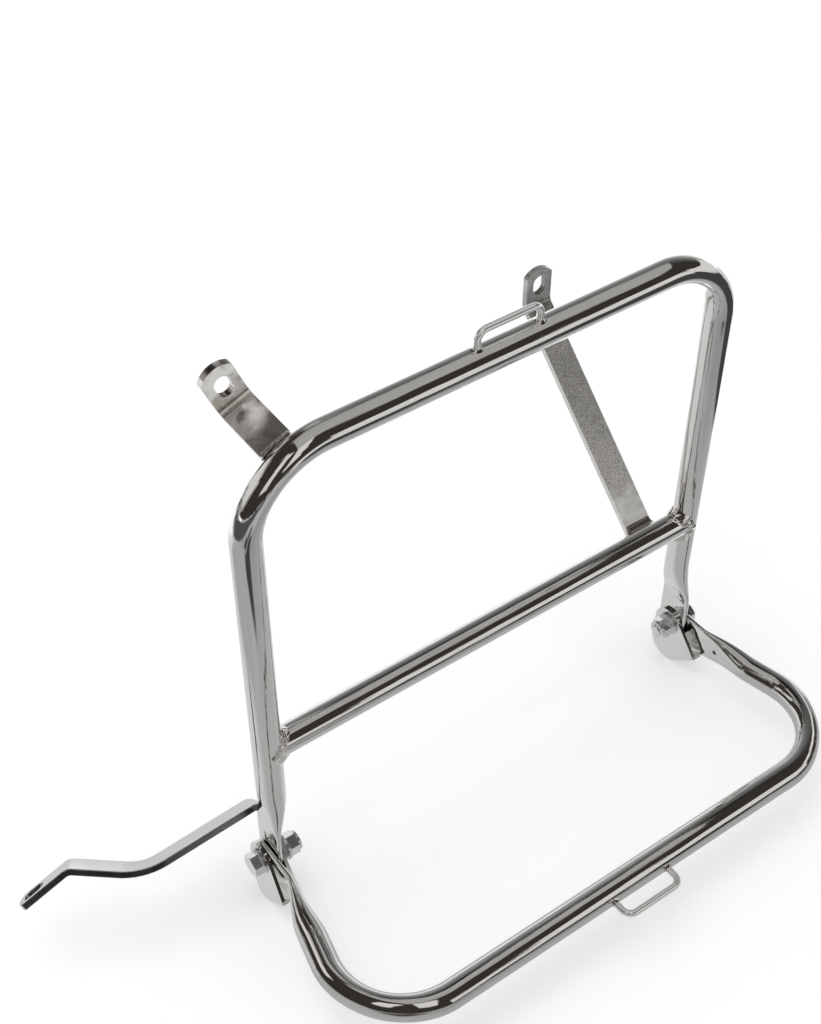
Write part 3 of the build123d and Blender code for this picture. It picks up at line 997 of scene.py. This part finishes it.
@dataclass
class Crossbar:
    """The straight tube welded between the legs, in millimetres.

    The weld's legs, on the bar and on the hoop, swell unevenly from its cheeks to its crown.
    """

    half_width: float = HALF_WIDTH
    height: float = CROSSBAR_HEIGHT
    sink: float = 0.05
    places: tuple[float, ...] = (-1.0, -0.8, -0.4, 0.0, 0.4, 0.8, 1.0)
    weld_crown: float = 6.0
    weld_cheek: Span = (4.3, 2.5)
    weld_lump: float = 0.7
    uneven: float = 0.2
    uneven_scale: float = 1.6
    turns: int = 96

    def build(self) -> None:
        """Builds the tube, coped to the legs."""
        rings = []
        for place in self.places:
            middle = Vector((place * self.half_width, 0.0, self.height))
            ring = circle(middle, Z_AXIS, Y_AXIS, TUBE_RADIUS, self.turns)
            if abs(place) == 1.0:
                for point in ring:
                    point.x = copysign(self.half_width - abs(point.z - self.height) + self.sink, place)
            rings.append(ring)
        tube = add_piece("crossbar_tube", *skin(rings, False))
        mark_drawing(tube, rings)
        round_shading(tube)
        hand_over(tube, Body.FRAME, look_of(CHROME), "crossbar")

    def weld(self, name: str, side: float) -> None:
        """Builds the weld round one end.

        Args:
            name: The bead's name.
            side: 1 for the right leg, -1 for the left.
        """
        flip = Vector((side, 1.0, 1.0))
        seams = []
        for step in range(self.turns * 2):
            turn = pi * step / self.turns
            spot = Vector((self.uneven_scale * cos(turn), self.uneven_scale * sin(turn), side))
            swell = 1.0 + self.uneven * noise.noise(spot)
            bar_leg, hoop_leg = (
                swell * blend(cheek, self.weld_crown, cos(turn) ** 2) for cheek in self.weld_cheek
            )
            face = asin(max(-1.0, min(1.0, sin(turn))))
            far = face + hoop_leg * sin(turn) / TUBE_RADIUS
            rise = self.height + TUBE_RADIUS * cos(turn)
            corner = Vector((self.half_width - TUBE_RADIUS * abs(cos(turn)), TUBE_RADIUS * sin(turn), rise))
            far_toe = Vector((self.half_width - TUBE_RADIUS * cos(far), TUBE_RADIUS * sin(far), rise))
            far_toe.z += hoop_leg * cos(turn)
            outward = Vector((-cos(face), sin(turn) + sin(face), cos(turn))).normalized()
            toe = corner - X_AXIS * bar_leg
            seams.append(Seam(toe * flip, corner * flip, far_toe * flip, outward * flip))
        WeldBead(name, Body.FRAME, self.weld_lump).build(seams, True)


@dataclass
class WireLoop:
    """A bent wire loop welded on a bar, in millimetres."""

    name: str
    node: str
    body: Body
    bar: Vector
    up: Vector
    reach: float
    left: float = -16.0
    right: float = 22.0
    wire_radius: float = 1.95
    bend_radius: float = 5.5
    sunk: float = 5.0
    weld_leg: float = 1.3
    weld_lump: float = 0.18
    weld_pitch: float = 2.4
    weld_root: float = 0.7
    uneven: float = 0.35
    uneven_scale: float = 0.1
    sides: int = 28
    bend_steps: int = 16
    weld_steps: int = 40

    def line(self) -> list[tuple[Vector, Vector]]:
        """Lists the wire's centre points and its outward directions, from the left foot to the right.

        Returns:
            The points with their directions.
        """
        centre = (self.right + self.left) / 2.0
        half = (self.right - self.left) / 2.0
        radius = self.bend_radius
        run = [(half, self.sunk, 0.0), (half, self.reach - radius, 0.0)]
        for step in range(1, self.bend_steps + 1):
            turn = pi / 2.0 * step / self.bend_steps
            run.append((half - radius + radius * cos(turn), self.reach - radius + radius * sin(turn), turn))
        found = []
        for x, height, turn in [(-x, height, pi - turn) for x, height, turn in run] + run[::-1]:
            outward = X_AXIS * cos(turn) + self.up * sin(turn)
            found.append((self.bar + X_AXIS * (centre + x) + self.up * height, outward))
        return found

    def build(self) -> None:
        """Builds the loop in place of its solid."""
        across = X_AXIS.cross(self.up)
        line = self.line()
        rings = [circle(spot, outward, across, self.wire_radius, self.sides) for spot, outward in line]
        wire = add_piece(self.name, *skin(rings, False))
        mark_drawing(wire, rings)
        round_shading(wire)
        # The wire takes the paler chrome copy, a painted brighter reflection.
        hand_over(wire, self.body, look_of(WIRE_CHROME_SHEEN), self.node)

    def weld(self, name: str, x: float) -> None:
        """Builds the weld round one foot.

        Args:
            name: The bead's name.
            x: Where the foot stands along the bar.
        """
        across = X_AXIS.cross(self.up)
        foot = self.bar + X_AXIS * x
        seams = []
        for step in range(self.weld_steps):
            turn = 2.0 * pi * step / self.weld_steps
            swell = noise.noise(Vector((cos(turn), sin(turn), x * self.uneven_scale)))
            leg = self.weld_leg * (1.0 + self.uneven * swell)
            lean = asin(self.wire_radius * sin(turn) / TUBE_RADIUS)
            far = lean + leg * sin(turn) / TUBE_RADIUS
            corner = foot + X_AXIS * (self.wire_radius * cos(turn))
            corner += (self.up * cos(lean) + across * sin(lean)) * TUBE_RADIUS
            far_toe = foot + X_AXIS * ((self.wire_radius + leg) * cos(turn))
            far_toe += (self.up * cos(far) + across * sin(far)) * TUBE_RADIUS
            outward = (self.up + X_AXIS * cos(turn) + across * sin(turn)).normalized()
            seams.append(Seam(corner + self.up * leg, corner, far_toe, outward))
        WeldBead(name, self.body, self.weld_lump, self.weld_pitch, root=self.weld_root).build(seams, True)


@dataclass
class StrapWelds:
    """The welds at the feet of the two welded straps, in millimetres."""

    long_x: float = 117.6
    long_slope: float = radians(43.8)
    long_foot_y: float = 7.6
    long_foot_rise: float = 0.9
    upper_place: float = radians(26.0)
    upper_lean: float = radians(22.0)
    strap_width: float = 18.0
    strap_thickness: float = 4.0
    overrun: float = 1.06
    fade: float = 0.07
    least: float = 0.25
    steps: int = 36

    def shares(self) -> list[Span]:
        """Lists places across a strap with the weld's share of its full size there.

        Returns:
            The places and shares.
        """
        found = []
        for step in range(self.steps + 1):
            place = (step / self.steps - 0.5) * self.overrun
            share = smooth_step((self.overrun / 2.0 - abs(place)) / self.fade)
            found.append((place * self.strap_width, max(self.least, share)))
        return found

    def long_foot(self, name: str, way: float, size: float) -> None:
        """Builds the weld on one face of the long strap's foot.

        Args:
            name: The bead's name.
            way: 1 for the upper face, -1 for the lower.
            size: The weld's leg.
        """
        run = (cos(self.long_slope), sin(self.long_slope))
        y = self.long_foot_y - way * self.strap_thickness / 2.0 * run[1]
        z = self.long_foot_rise + way * self.strap_thickness / 2.0 * run[0]
        dot = y * run[0] + z * run[1]
        reach = sqrt(dot * dot - y * y - z * z + TUBE_RADIUS * TUBE_RADIUS) - dot
        turn = atan2(z + run[1] * reach, y + run[0] * reach)
        along = Vector((0.0, *run))
        seams = []
        for place, share in self.shares():
            axis = Vector((self.long_x + place, 0.0, CROSSBAR_HEIGHT))
            seams.append(bar_seam(axis, Y_AXIS, Z_AXIS, turn, way, along, size * share))
        WeldBead(name, Body.FRAME, lump=0.05, fill=0.15, finish=FOOT_WELD).build(seams, False)

    def upper_foot(self, name: str, way: float, size: float) -> None:
        """Builds the weld on one face of the upper strap's foot.

        Args:
            name: The bead's name.
            way: 1 for the upper face, -1 for the lower.
            size: The weld's leg.
        """
        hub = Vector((BEND_RADIUS - HALF_WIDTH, 0.0, FRAME_HEIGHT - BEND_RADIUS))
        root = hub + Vector((-sin(self.upper_place), 0.0, cos(self.upper_place))) * BEND_RADIUS
        across = Vector((cos(self.upper_lean), 0.0, sin(self.upper_lean)))
        normal = Vector((-sin(self.upper_lean), 0.0, cos(self.upper_lean)))
        seams = []
        for place, share in self.shares():
            spot = root + across * place + normal * (way * self.strap_thickness / 2.0)
            radial = (spot - hub).normalized()
            axis = hub + radial * BEND_RADIUS
            turn = asin((spot - axis).dot(radial) / TUBE_RADIUS)
            seams.append(bar_seam(axis, Y_AXIS, radial, turn, way, Y_AXIS, size * share))
        WeldBead(name, Body.FRAME, lump=0.25, pitch=3.4).build(seams, False)


# Straps, clips and fasteners, with rolled edges on the shape of their solids


@dataclass
class EasedSolid:
    """A solid's shape with its hard edges eased round, in millimetres."""

    name: str
    node: str
    slot: Slot
    finish: MetalFinish | NylonFinish
    ease: float
    side_finish: MetalFinish | None = None
    side_way: Vector = Vector()
    side_share: float = 0.85
    body: Body = Body.FRAME
    segments: int = 3
    weld_gap: float = 1e-6
    level_angle: float = radians(0.4)
    hard_edge: float = radians(32.0)

    def placed(self, point: Vector) -> Vector:
        """Gives a point of the solid its place in the piece, here unchanged."""
        return point

    def is_side(self, face: bpy.types.MeshPolygon) -> bool:
        """Tells whether a face is a sheared side."""
        return abs(face.normal.dot(self.side_way)) > self.side_share

    def build(self) -> None:
        """Builds the piece in place of its solid."""
        shape = bmesh.new()
        shape.from_mesh(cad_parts[self.node].data)
        bmesh.ops.remove_doubles(shape, verts=shape.verts, dist=self.weld_gap)
        bmesh.ops.dissolve_limit(shape, angle_limit=self.level_angle, verts=shape.verts, edges=shape.edges)
        for corner in shape.verts:
            corner.co = self.placed(corner.co / MM) * MM
        inner = [edge for edge in shape.edges if len(edge.link_faces) == 2]
        bmesh.ops.bevel(
            shape,
            geom=[edge for edge in inner if edge.calc_face_angle() > self.hard_edge],
            offset=self.ease * MM,
            offset_type="OFFSET",
            segments=self.segments,
            profile=0.5,
            affect="EDGES",
            clamp_overlap=True,
        )
        bmesh.ops.recalc_face_normals(shape, faces=shape.faces)
        mesh = bpy.data.meshes.new(self.name)
        shape.to_mesh(mesh)
        shape.free()
        piece = link_object(self.name, mesh)
        round_shading(piece)
        piece.modifiers.new("level", "WEIGHTED_NORMAL").keep_sharp = True
        apply_modifiers(piece)
        hand_over(piece, self.body, look_of(self.finish), self.node)
        if self.side_finish:
            piece.data.materials.append(look_of(self.side_finish))
            for face in piece.data.polygons:
                face.material_index = int(self.is_side(face))


@dataclass
class TabbedStrap(EasedSolid):
    """A strap whose upright tab, behind a set depth in millimetres, has a painted dark reflection on its
    upward-facing rim.
    """

    tab_start: float = 42.5
    rim_rise: float = 0.55
    rim_lean: float = 0.4

    def is_side(self, face: bpy.types.MeshPolygon) -> bool:
        """Tells whether a face lies on the tab's upper rim."""
        upward = face.normal.z > self.rim_rise and abs(face.normal.y) < self.rim_lean
        return upward and face.center.y > self.tab_start * MM


@dataclass
class HexPiece(EasedSolid):
    """A fastener drawn a little slimmer about its axis."""

    slim: float = 0.93

    def placed(self, point: Vector) -> Vector:
        """Draws a point in towards the hinge line."""
        return Vector((point.x, point.y * self.slim, point.z * self.slim))


@dataclass
class FlaredClip(EasedSolid):
    """A folded hinge clip whose outer cheek opens towards its web, in millimetres."""

    flare: float = 2.2
    inner_x: float = 149.0
    gap: float = 6.4
    start: float = 9.0
    reach: float = 27.0
    lean: float = radians(48.0)

    def placed(self, point: Vector) -> Vector:
        """Moves a point of the outer cheek outward.

        Args:
            point: A point of the solid.

        Returns:
            Its place in the flared clip.
        """
        down = -point.y * cos(self.lean) - point.z * sin(self.lean)
        opened = smooth_step((down - self.start) / (self.reach - self.start))
        across = min(1.0, max(0.0, (abs(point.x) - self.inner_x) / self.gap))
        return point + X_AXIS * copysign(self.flare * opened * across, point.x)


# Stage


def reflect_only(thing: Piece) -> None:
    """Marks a stage object that shows in polished metal and nowhere else.

    Args:
        thing: The stage object.
    """
    thing.visible_camera = thing.visible_diffuse = False
    thing.visible_transmission = thing.visible_shadow = False


@dataclass(frozen=True)
class Card:
    """A flat panel of the light tent, seen only in reflections, in millimetres."""

    name: str
    centre: Spot
    aim: Spot
    width: float
    height: float
    level: float = 0.78
    colour: Tone = (1.0, 0.985, 0.965, 1.0)

    def build(self) -> None:
        """Builds the panel."""
        middle = Vector(self.centre)
        facing = (Vector(self.aim) - middle).normalized()
        upright = Y_AXIS if abs(facing.z) > 0.9 else Z_AXIS
        right = upright.cross(facing).normalized() * (self.width / 2.0)
        up = facing.cross(right).normalized() * (self.height / 2.0)
        corners = [middle - right - up, middle + right - up, middle + right + up, middle - right + up]
        card = add_piece(self.name, corners, [(0, 1, 2, 3)])
        look, graph = new_look(self.name)
        graph.show(graph.add("ShaderNodeEmission", {"Color": self.colour, "Strength": self.level}))
        card.data.materials.append(look)
        reflect_only(card)


@dataclass(frozen=True)
class FloorPatch:
    """A patch of the table with its own tone in reflections, in metres: its spans, soft edge and slant."""

    across: Span
    depth: Span
    soft: float
    level: float
    slant: float = 0.0

    def lay(self, graph: Graph, tone: Socket, x: Socket, y: Socket, peak: float) -> Socket:
        """Lays the patch over a tone.

        Args:
            graph: The table's shader graph.
            tone: The tone so far, as a share of the peak.
            x: The place across the table.
            y: The place along the table.
            peak: The level of a full tone.

        Returns:
            The tone with the patch.
        """
        shifted = graph.maths("SUBTRACT", x, graph.maths("MULTIPLY", y, self.slant)) if self.slant else x
        sides = graph.window(shifted, self.across, self.soft)
        mask = graph.maths("MULTIPLY", sides, graph.window(y, self.depth, self.soft))
        laid = graph.add("ShaderNodeMix", {0: mask, 2: tone, 3: self.level / peak}, data_type="FLOAT")
        return laid.outputs[0]


@dataclass
class Studio:
    """A white table in a light tent, and the camera.

    The camera, the cards, the span and the radius are in millimetres and degrees, and the rest in metres.
    """

    camera_place: Spot = (-392.1, -474.8, 791.6)
    camera_azimuth: float = -35.43
    camera_elevation: float = 44.67
    camera_roll: float = -0.08
    camera_clip: Span = (0.01, 100.0)
    lens: float = 58.1
    sensor: float = 36.0
    fill: float = 0.65
    key_power: float = 12.0
    key_size: float = 1.8
    key_place: Spot = (-0.5, 0.3, 2.2)
    key_aim: Spot = (0.0, 0.0, 0.1)
    paper: Tone = (0.86, 0.86, 0.86, 1.0)
    floor_lift: Span = (0.31, 0.46)
    floor_reach: Span = (0.5, 2.5)
    floor_span: float = 9000.0
    floor_peak: float = 1.2
    floor_stops: tuple[Span, ...] = (
        (-0.6, 0.5), (-0.5, 0.45), (-0.4, 0.36), (-0.3, 0.35), (-0.2, 0.43), (-0.1, 0.5), (-0.05, 0.48),
        (0.0, 0.7), (0.1, 0.73), (0.25, 0.75), (0.36, 0.85), (0.41, 1.2), (0.5, 1.2),
    )
    floor_patches: tuple[FloorPatch, ...] = (
        FloorPatch((-0.65, -0.3), (-0.15, 0.2), 0.05, 0.45),
        FloorPatch((0.2, 0.6), (-0.05, 0.3), 0.03, 1.2),
        FloorPatch((0.085, 2.0), (-2.0, -0.36), 0.03, 0.05),
        FloorPatch((0.405, 2.0), (-2.0, -0.02), 0.03, 0.06, 0.353),
        FloorPatch((-0.33, -0.205), (-0.42, -0.19), 0.02, 0.06),
        FloorPatch((-0.46, -0.36), (-0.6, -0.28), 0.02, 0.06),
        FloorPatch((-3.0, -0.7), (-3.0, 3.0), 0.1, 0.09),
    )
    shell_stops: tuple[Span, ...] = (
        (0.0, 0.78), (0.16, 0.55), (0.26, 0.37), (0.45, 0.23), (0.63, 0.16), (0.76, 0.11), (0.81, 0.02),
        (1.0, 0.02),
    )
    shell_dark: Spot = (0.04, 0.035, 0.031)
    shell_back: Span = (0.0, 0.45)
    shell_left: Span = (-0.1, 0.2)
    shell_radius: float = 6000.0
    cards: tuple[Card, ...] = (
        Card("front_panel", (425.0, -570.0, 238.0), (425.0, 0.0, 238.0), 590.0, 308.0),
        Card("front_low_panel", (35.0, -570.0, 167.0), (35.0, 0.0, 167.0), 190.0, 166.0),
        Card("right_panel", (720.0, -200.0, 310.0), (0.0, -200.0, 310.0), 760.0, 200.0),
        Card("camera_left_panel", (-640.0, -380.0, 780.0), (0.0, -50.0, 150.0), 260.0, 620.0),
        Card("camera_right_panel", (-230.0, -620.0, 780.0), (0.0, -50.0, 150.0), 260.0, 620.0),
        Card("left_panel", (-470.0, 340.0, 417.0), (-130.0, 0.0, 417.0), 460.0, 274.0),
        Card("arm_panel", (15.0, 440.0, 669.0), (15.0, 440.0, 0.0), 190.0, 300.0, 0.5),
        Card("overhead_panel", (83.5, -20.0, 669.0), (83.5, -20.0, 0.0), 637.0, 450.0, 0.43),
    )

    def world(self) -> None:
        """Makes the world white to the eye and in metal, and a soft fill elsewhere."""
        world = bpy.data.worlds.new("tent")
        world.use_nodes = True
        bpy.context.scene.world = world
        graph = Graph(world.node_tree)
        path = graph.add("ShaderNodeLightPath").outputs
        seen = graph.maths("MAXIMUM", path["Is Camera Ray"], path["Is Glossy Ray"])
        seen = graph.maths("MAXIMUM", seen, path["Is Transmission Ray"])
        strength = graph.spread(seen, 0.0, 1.0, self.fill, 1.0)
        sky = graph.add("ShaderNodeBackground", {"Color": WHITE, "Strength": strength})
        graph.show(sky, "ShaderNodeOutputWorld")

    def floor(self) -> None:
        """Builds the white table top, which in reflections darkens past its front and sides."""
        level = CAD_BOX[0][2] / MM
        corners = [Vector((x, y, 0.0)) * self.floor_span for x, y in ((-1, -1), (1, -1), (1, 1), (-1, 1))]
        floor = add_piece("table", [corner + Z_AXIS * level for corner in corners], [(0, 1, 2, 3)])
        look, graph = new_look("white_table")
        spot = graph.place()
        away = graph.add("ShaderNodeVectorMath", {0: spot}, operation="LENGTH").outputs["Value"]
        rising = graph.spread(away, *self.floor_reach, *self.floor_lift)
        lift = graph.add("ShaderNodeEmission", {"Color": WHITE, "Strength": rising})
        paper = graph.add("ShaderNodeBsdfDiffuse", {"Color": self.paper})
        seen = graph.add("ShaderNodeAddShader", {0: paper.outputs[0], 1: lift.outputs[0]})
        place = graph.add("ShaderNodeSeparateXYZ", {0: spot}).outputs
        near, far = self.floor_stops[0][0], self.floor_stops[-1][0]
        stops = [((at - near) / (far - near), tone / self.floor_peak) for at, tone in self.floor_stops]
        tone = graph.ramp(graph.spread(place["Y"], near, far, 0.0, 1.0), stops)
        for patch in self.floor_patches:
            tone = patch.lay(graph, tone, place["X"], place["Y"], self.floor_peak)
        strength = graph.maths("MULTIPLY", tone, self.floor_peak)
        mirrored = graph.add("ShaderNodeEmission", {"Color": WHITE, "Strength": strength})
        glossy = graph.add("ShaderNodeLightPath").outputs["Is Glossy Ray"]
        graph.show(graph.add("ShaderNodeMixShader", {0: glossy, 1: seen.outputs[0], 2: mirrored.outputs[0]}))
        floor.data.materials.append(look)

    def shell(self) -> None:
        """Builds the dim room round the tent, paler low down at the back and right."""
        mesh = bpy.data.meshes.new("dim_room")
        shape = bmesh.new()
        bmesh.ops.create_icosphere(shape, subdivisions=4, radius=self.shell_radius * MM)
        shape.to_mesh(mesh)
        shape.free()
        mesh.shade_smooth()
        shell = link_object("dim_room", mesh)
        look, graph = new_look("dim_room")
        way = graph.add("ShaderNodeVectorMath", {0: graph.place()}, operation="NORMALIZE").outputs[0]
        part = graph.add("ShaderNodeSeparateXYZ", {0: way}).outputs
        rise = graph.ramp(part["Z"], list(self.shell_stops))
        back = graph.spread(part["Y"], *self.shell_back, 0.0, 1.0)
        back = graph.maths("MULTIPLY", back, graph.spread(part["X"], *self.shell_left, 0.0, 1.0))
        tone = graph.mix_colour(back, self.shell_dark, rise)
        graph.show(graph.add("ShaderNodeEmission", {"Color": tone, "Strength": 1.0}))
        mesh.materials.append(look)
        reflect_only(shell)

    def light(self) -> None:
        """Hangs one broad soft lamp over the table."""
        lamp = bpy.data.lights.new("soft_key", "AREA")
        lamp.shape = "DISK"
        lamp.size = self.key_size
        lamp.energy = self.key_power
        key = link_object("soft_key", lamp)
        key.location = self.key_place
        aim = Vector(self.key_aim) - key.location
        key.rotation_euler = aim.to_track_quat("-Z", "Y").to_euler()
        key.visible_glossy = False

    def camera(self) -> None:
        """Sets the camera at the photograph's angle."""
        data = bpy.data.cameras.new("photo_camera")
        data.sensor_fit = "VERTICAL"
        data.sensor_height = self.sensor
        data.lens = self.lens
        data.clip_start, data.clip_end = self.camera_clip
        camera = link_object("photo_camera", data)
        angles = (self.camera_azimuth, self.camera_elevation, self.camera_roll)
        around, rise, roll = (radians(angle) for angle in angles)
        back = Vector((sin(around) * cos(rise), -cos(around) * cos(rise), sin(rise)))
        level = Vector((cos(around), sin(around), 0.0))
        upright = back.cross(level)
        right = level * cos(roll) + upright * sin(roll)
        up = upright * cos(roll) - level * sin(roll)
        turn = Matrix((right, up, back)).transposed().to_4x4()
        camera.matrix_world = Matrix.Translation(Vector(self.camera_place) * MM) @ turn
        bpy.context.scene.camera = camera

    def build(self) -> None:
        """Sets the whole stage."""
        bpy.context.scene.view_settings.view_transform = "Standard"
        self.world()
        self.floor()
        self.shell()
        for card in self.cards:
            card.build()
        self.light()
        self.camera()


# The whole part


@dataclass
class PannierFrame:
    """The whole part: two hoops, the crossbar, loops, straps and hinges, in millimetres."""

    shelf_tilt: float = radians(2.1)
    shelf_splay: float = radians(12.0)
    shelf_depth: float = 131.0
    shelf_plate_x: float = 153.9
    plate_x: float = 150.5
    press_length: float = 37.0
    bow: float = 1.0
    top_loop_reach: float = 18.0
    shelf_loop_reach: float = 19.0
    lower_edge: Vector = Vector((0.205, 0.764, -0.576))
    press_marks: tuple[Bore, ...] = (
        (Vector((-151.7, 2.5, 20.0)), Vector((-151.7, 2.5, 12.0)), 0.8),
        (Vector((149.3, -1.2, 25.7)), Vector((149.3, -8.9, 24.2)), 0.55),
    )

    def outboard(self) -> Vector:
        """Gives the way from the hinge line to the shelf's front bar."""
        return Vector((0.0, -cos(self.shelf_tilt), sin(self.shelf_tilt)))

    def tubes(self) -> None:
        """Builds the hoops and the crossbar with its welds."""
        PressedHoop(
            name="main_hoop_tube", node="main_hoop", body=Body.FRAME, up=Z_AXIS, wide=Y_AXIS,
            plate_x=self.plate_x, round_x=HALF_WIDTH, round_height=PLATE_REACH + self.press_length,
            bar_height=FRAME_HEIGHT, dodge=-self.bow, sway=1.0, marks=self.press_marks,
        ).build()
        PressedHoop(
            name="shelf_hoop_tube", node="shelf_hoop", body=Body.SHELF, up=self.outboard(),
            wide=Vector((0.0, sin(self.shelf_tilt), cos(self.shelf_tilt))),
            plate_x=self.shelf_plate_x,
            round_x=self.shelf_plate_x + self.press_length * sin(self.shelf_splay),
            round_height=PLATE_REACH + self.press_length * cos(self.shelf_splay),
            bar_height=self.shelf_depth, dodge=self.bow, splay=self.shelf_splay, vented=True,
        ).build()
        bar = Crossbar()
        bar.build()
        bar.weld("crossbar_weld_right", 1.0)
        bar.weld("crossbar_weld_left", -1.0)

    def loops(self) -> None:
        """Builds the two wire loops with the welds at their feet."""
        for name, body, up, height, reach in (
            ("top", Body.FRAME, Z_AXIS, FRAME_HEIGHT, self.top_loop_reach),
            ("shelf", Body.SHELF, self.outboard(), self.shelf_depth, self.shelf_loop_reach),
        ):
            loop = WireLoop(f"{name}_wire_loop", f"{name}_loop", body, up * height, up, reach)
            loop.build()
            loop.weld(f"{name}_loop_weld_left", loop.left)
            loop.weld(f"{name}_loop_weld_right", loop.right)

    def straps(self) -> None:
        """Builds the straps and the welds at their feet."""
        # The upper strap's upward-facing tab rim takes a painted dark reflection.
        TabbedStrap("upper_strap_bar", "upper_strap", Slot.SATIN, UPPER_SATIN, 0.55, TAB_RIM_DARK_REFLECTION).build()
        EasedSolid("long_strap_bar", "long_strap", Slot.SATIN, LONG_SATIN, 0.7).build()
        edge = self.lower_edge.normalized()
        EasedSolid("lower_strap_bar", "lower_strap", Slot.SATIN, LOWER_SATIN, 0.8, SHEARED_EDGE, edge).build()
        welds = StrapWelds()
        welds.long_foot("long_strap_weld_upper", 1.0, 5.0)
        welds.long_foot("long_strap_weld_lower", -1.0, 3.5)
        welds.upper_foot("upper_strap_weld_upper", 1.0, 3.6)
        welds.upper_foot("upper_strap_weld_lower", -1.0, 3.6)

    def hinges(self) -> None:
        """Builds the clips and the fasteners of both hinges."""
        kinds = (
            (FlaredClip, "hinge_clip_plate", "hinge_clip", Slot.CHROME, CLIP_CHROME, 0.35),
            (HexPiece, "hinge_bolt", "pivot_bolt", Slot.ZINC, ZINC, 0.22),
            (HexPiece, "hinge_nut", "lock_nut", Slot.ZINC, ZINC, 0.2),
            (HexPiece, "hinge_nut_ring", "nut_insert", Slot.RING, NYLON, 0.15),
            (EasedSolid, "hinge_head_washer", "head_washer", Slot.ZINC, ZINC, 0.3),
            (EasedSolid, "hinge_nut_washer", "nut_washer", Slot.ZINC, ZINC, 0.3),
        )
        for side in ("left", "right"):
            for kind, name, node, slot, finish, ease in kinds:
                kind(f"{name}_{side}", f"{node}_{side}", slot, finish, ease).build()

    def build(self) -> None:
        """Builds every sub-assembly in order."""
        self.tubes()
        self.loops()
        self.straps()
        self.hinges()


def main() -> None:
    """Builds the stage and the part."""
    logging.basicConfig(level=logging.INFO, format="%(message)s")
    Studio().build()
    PannierFrame().build()


if __name__ == "__main__":
    main()
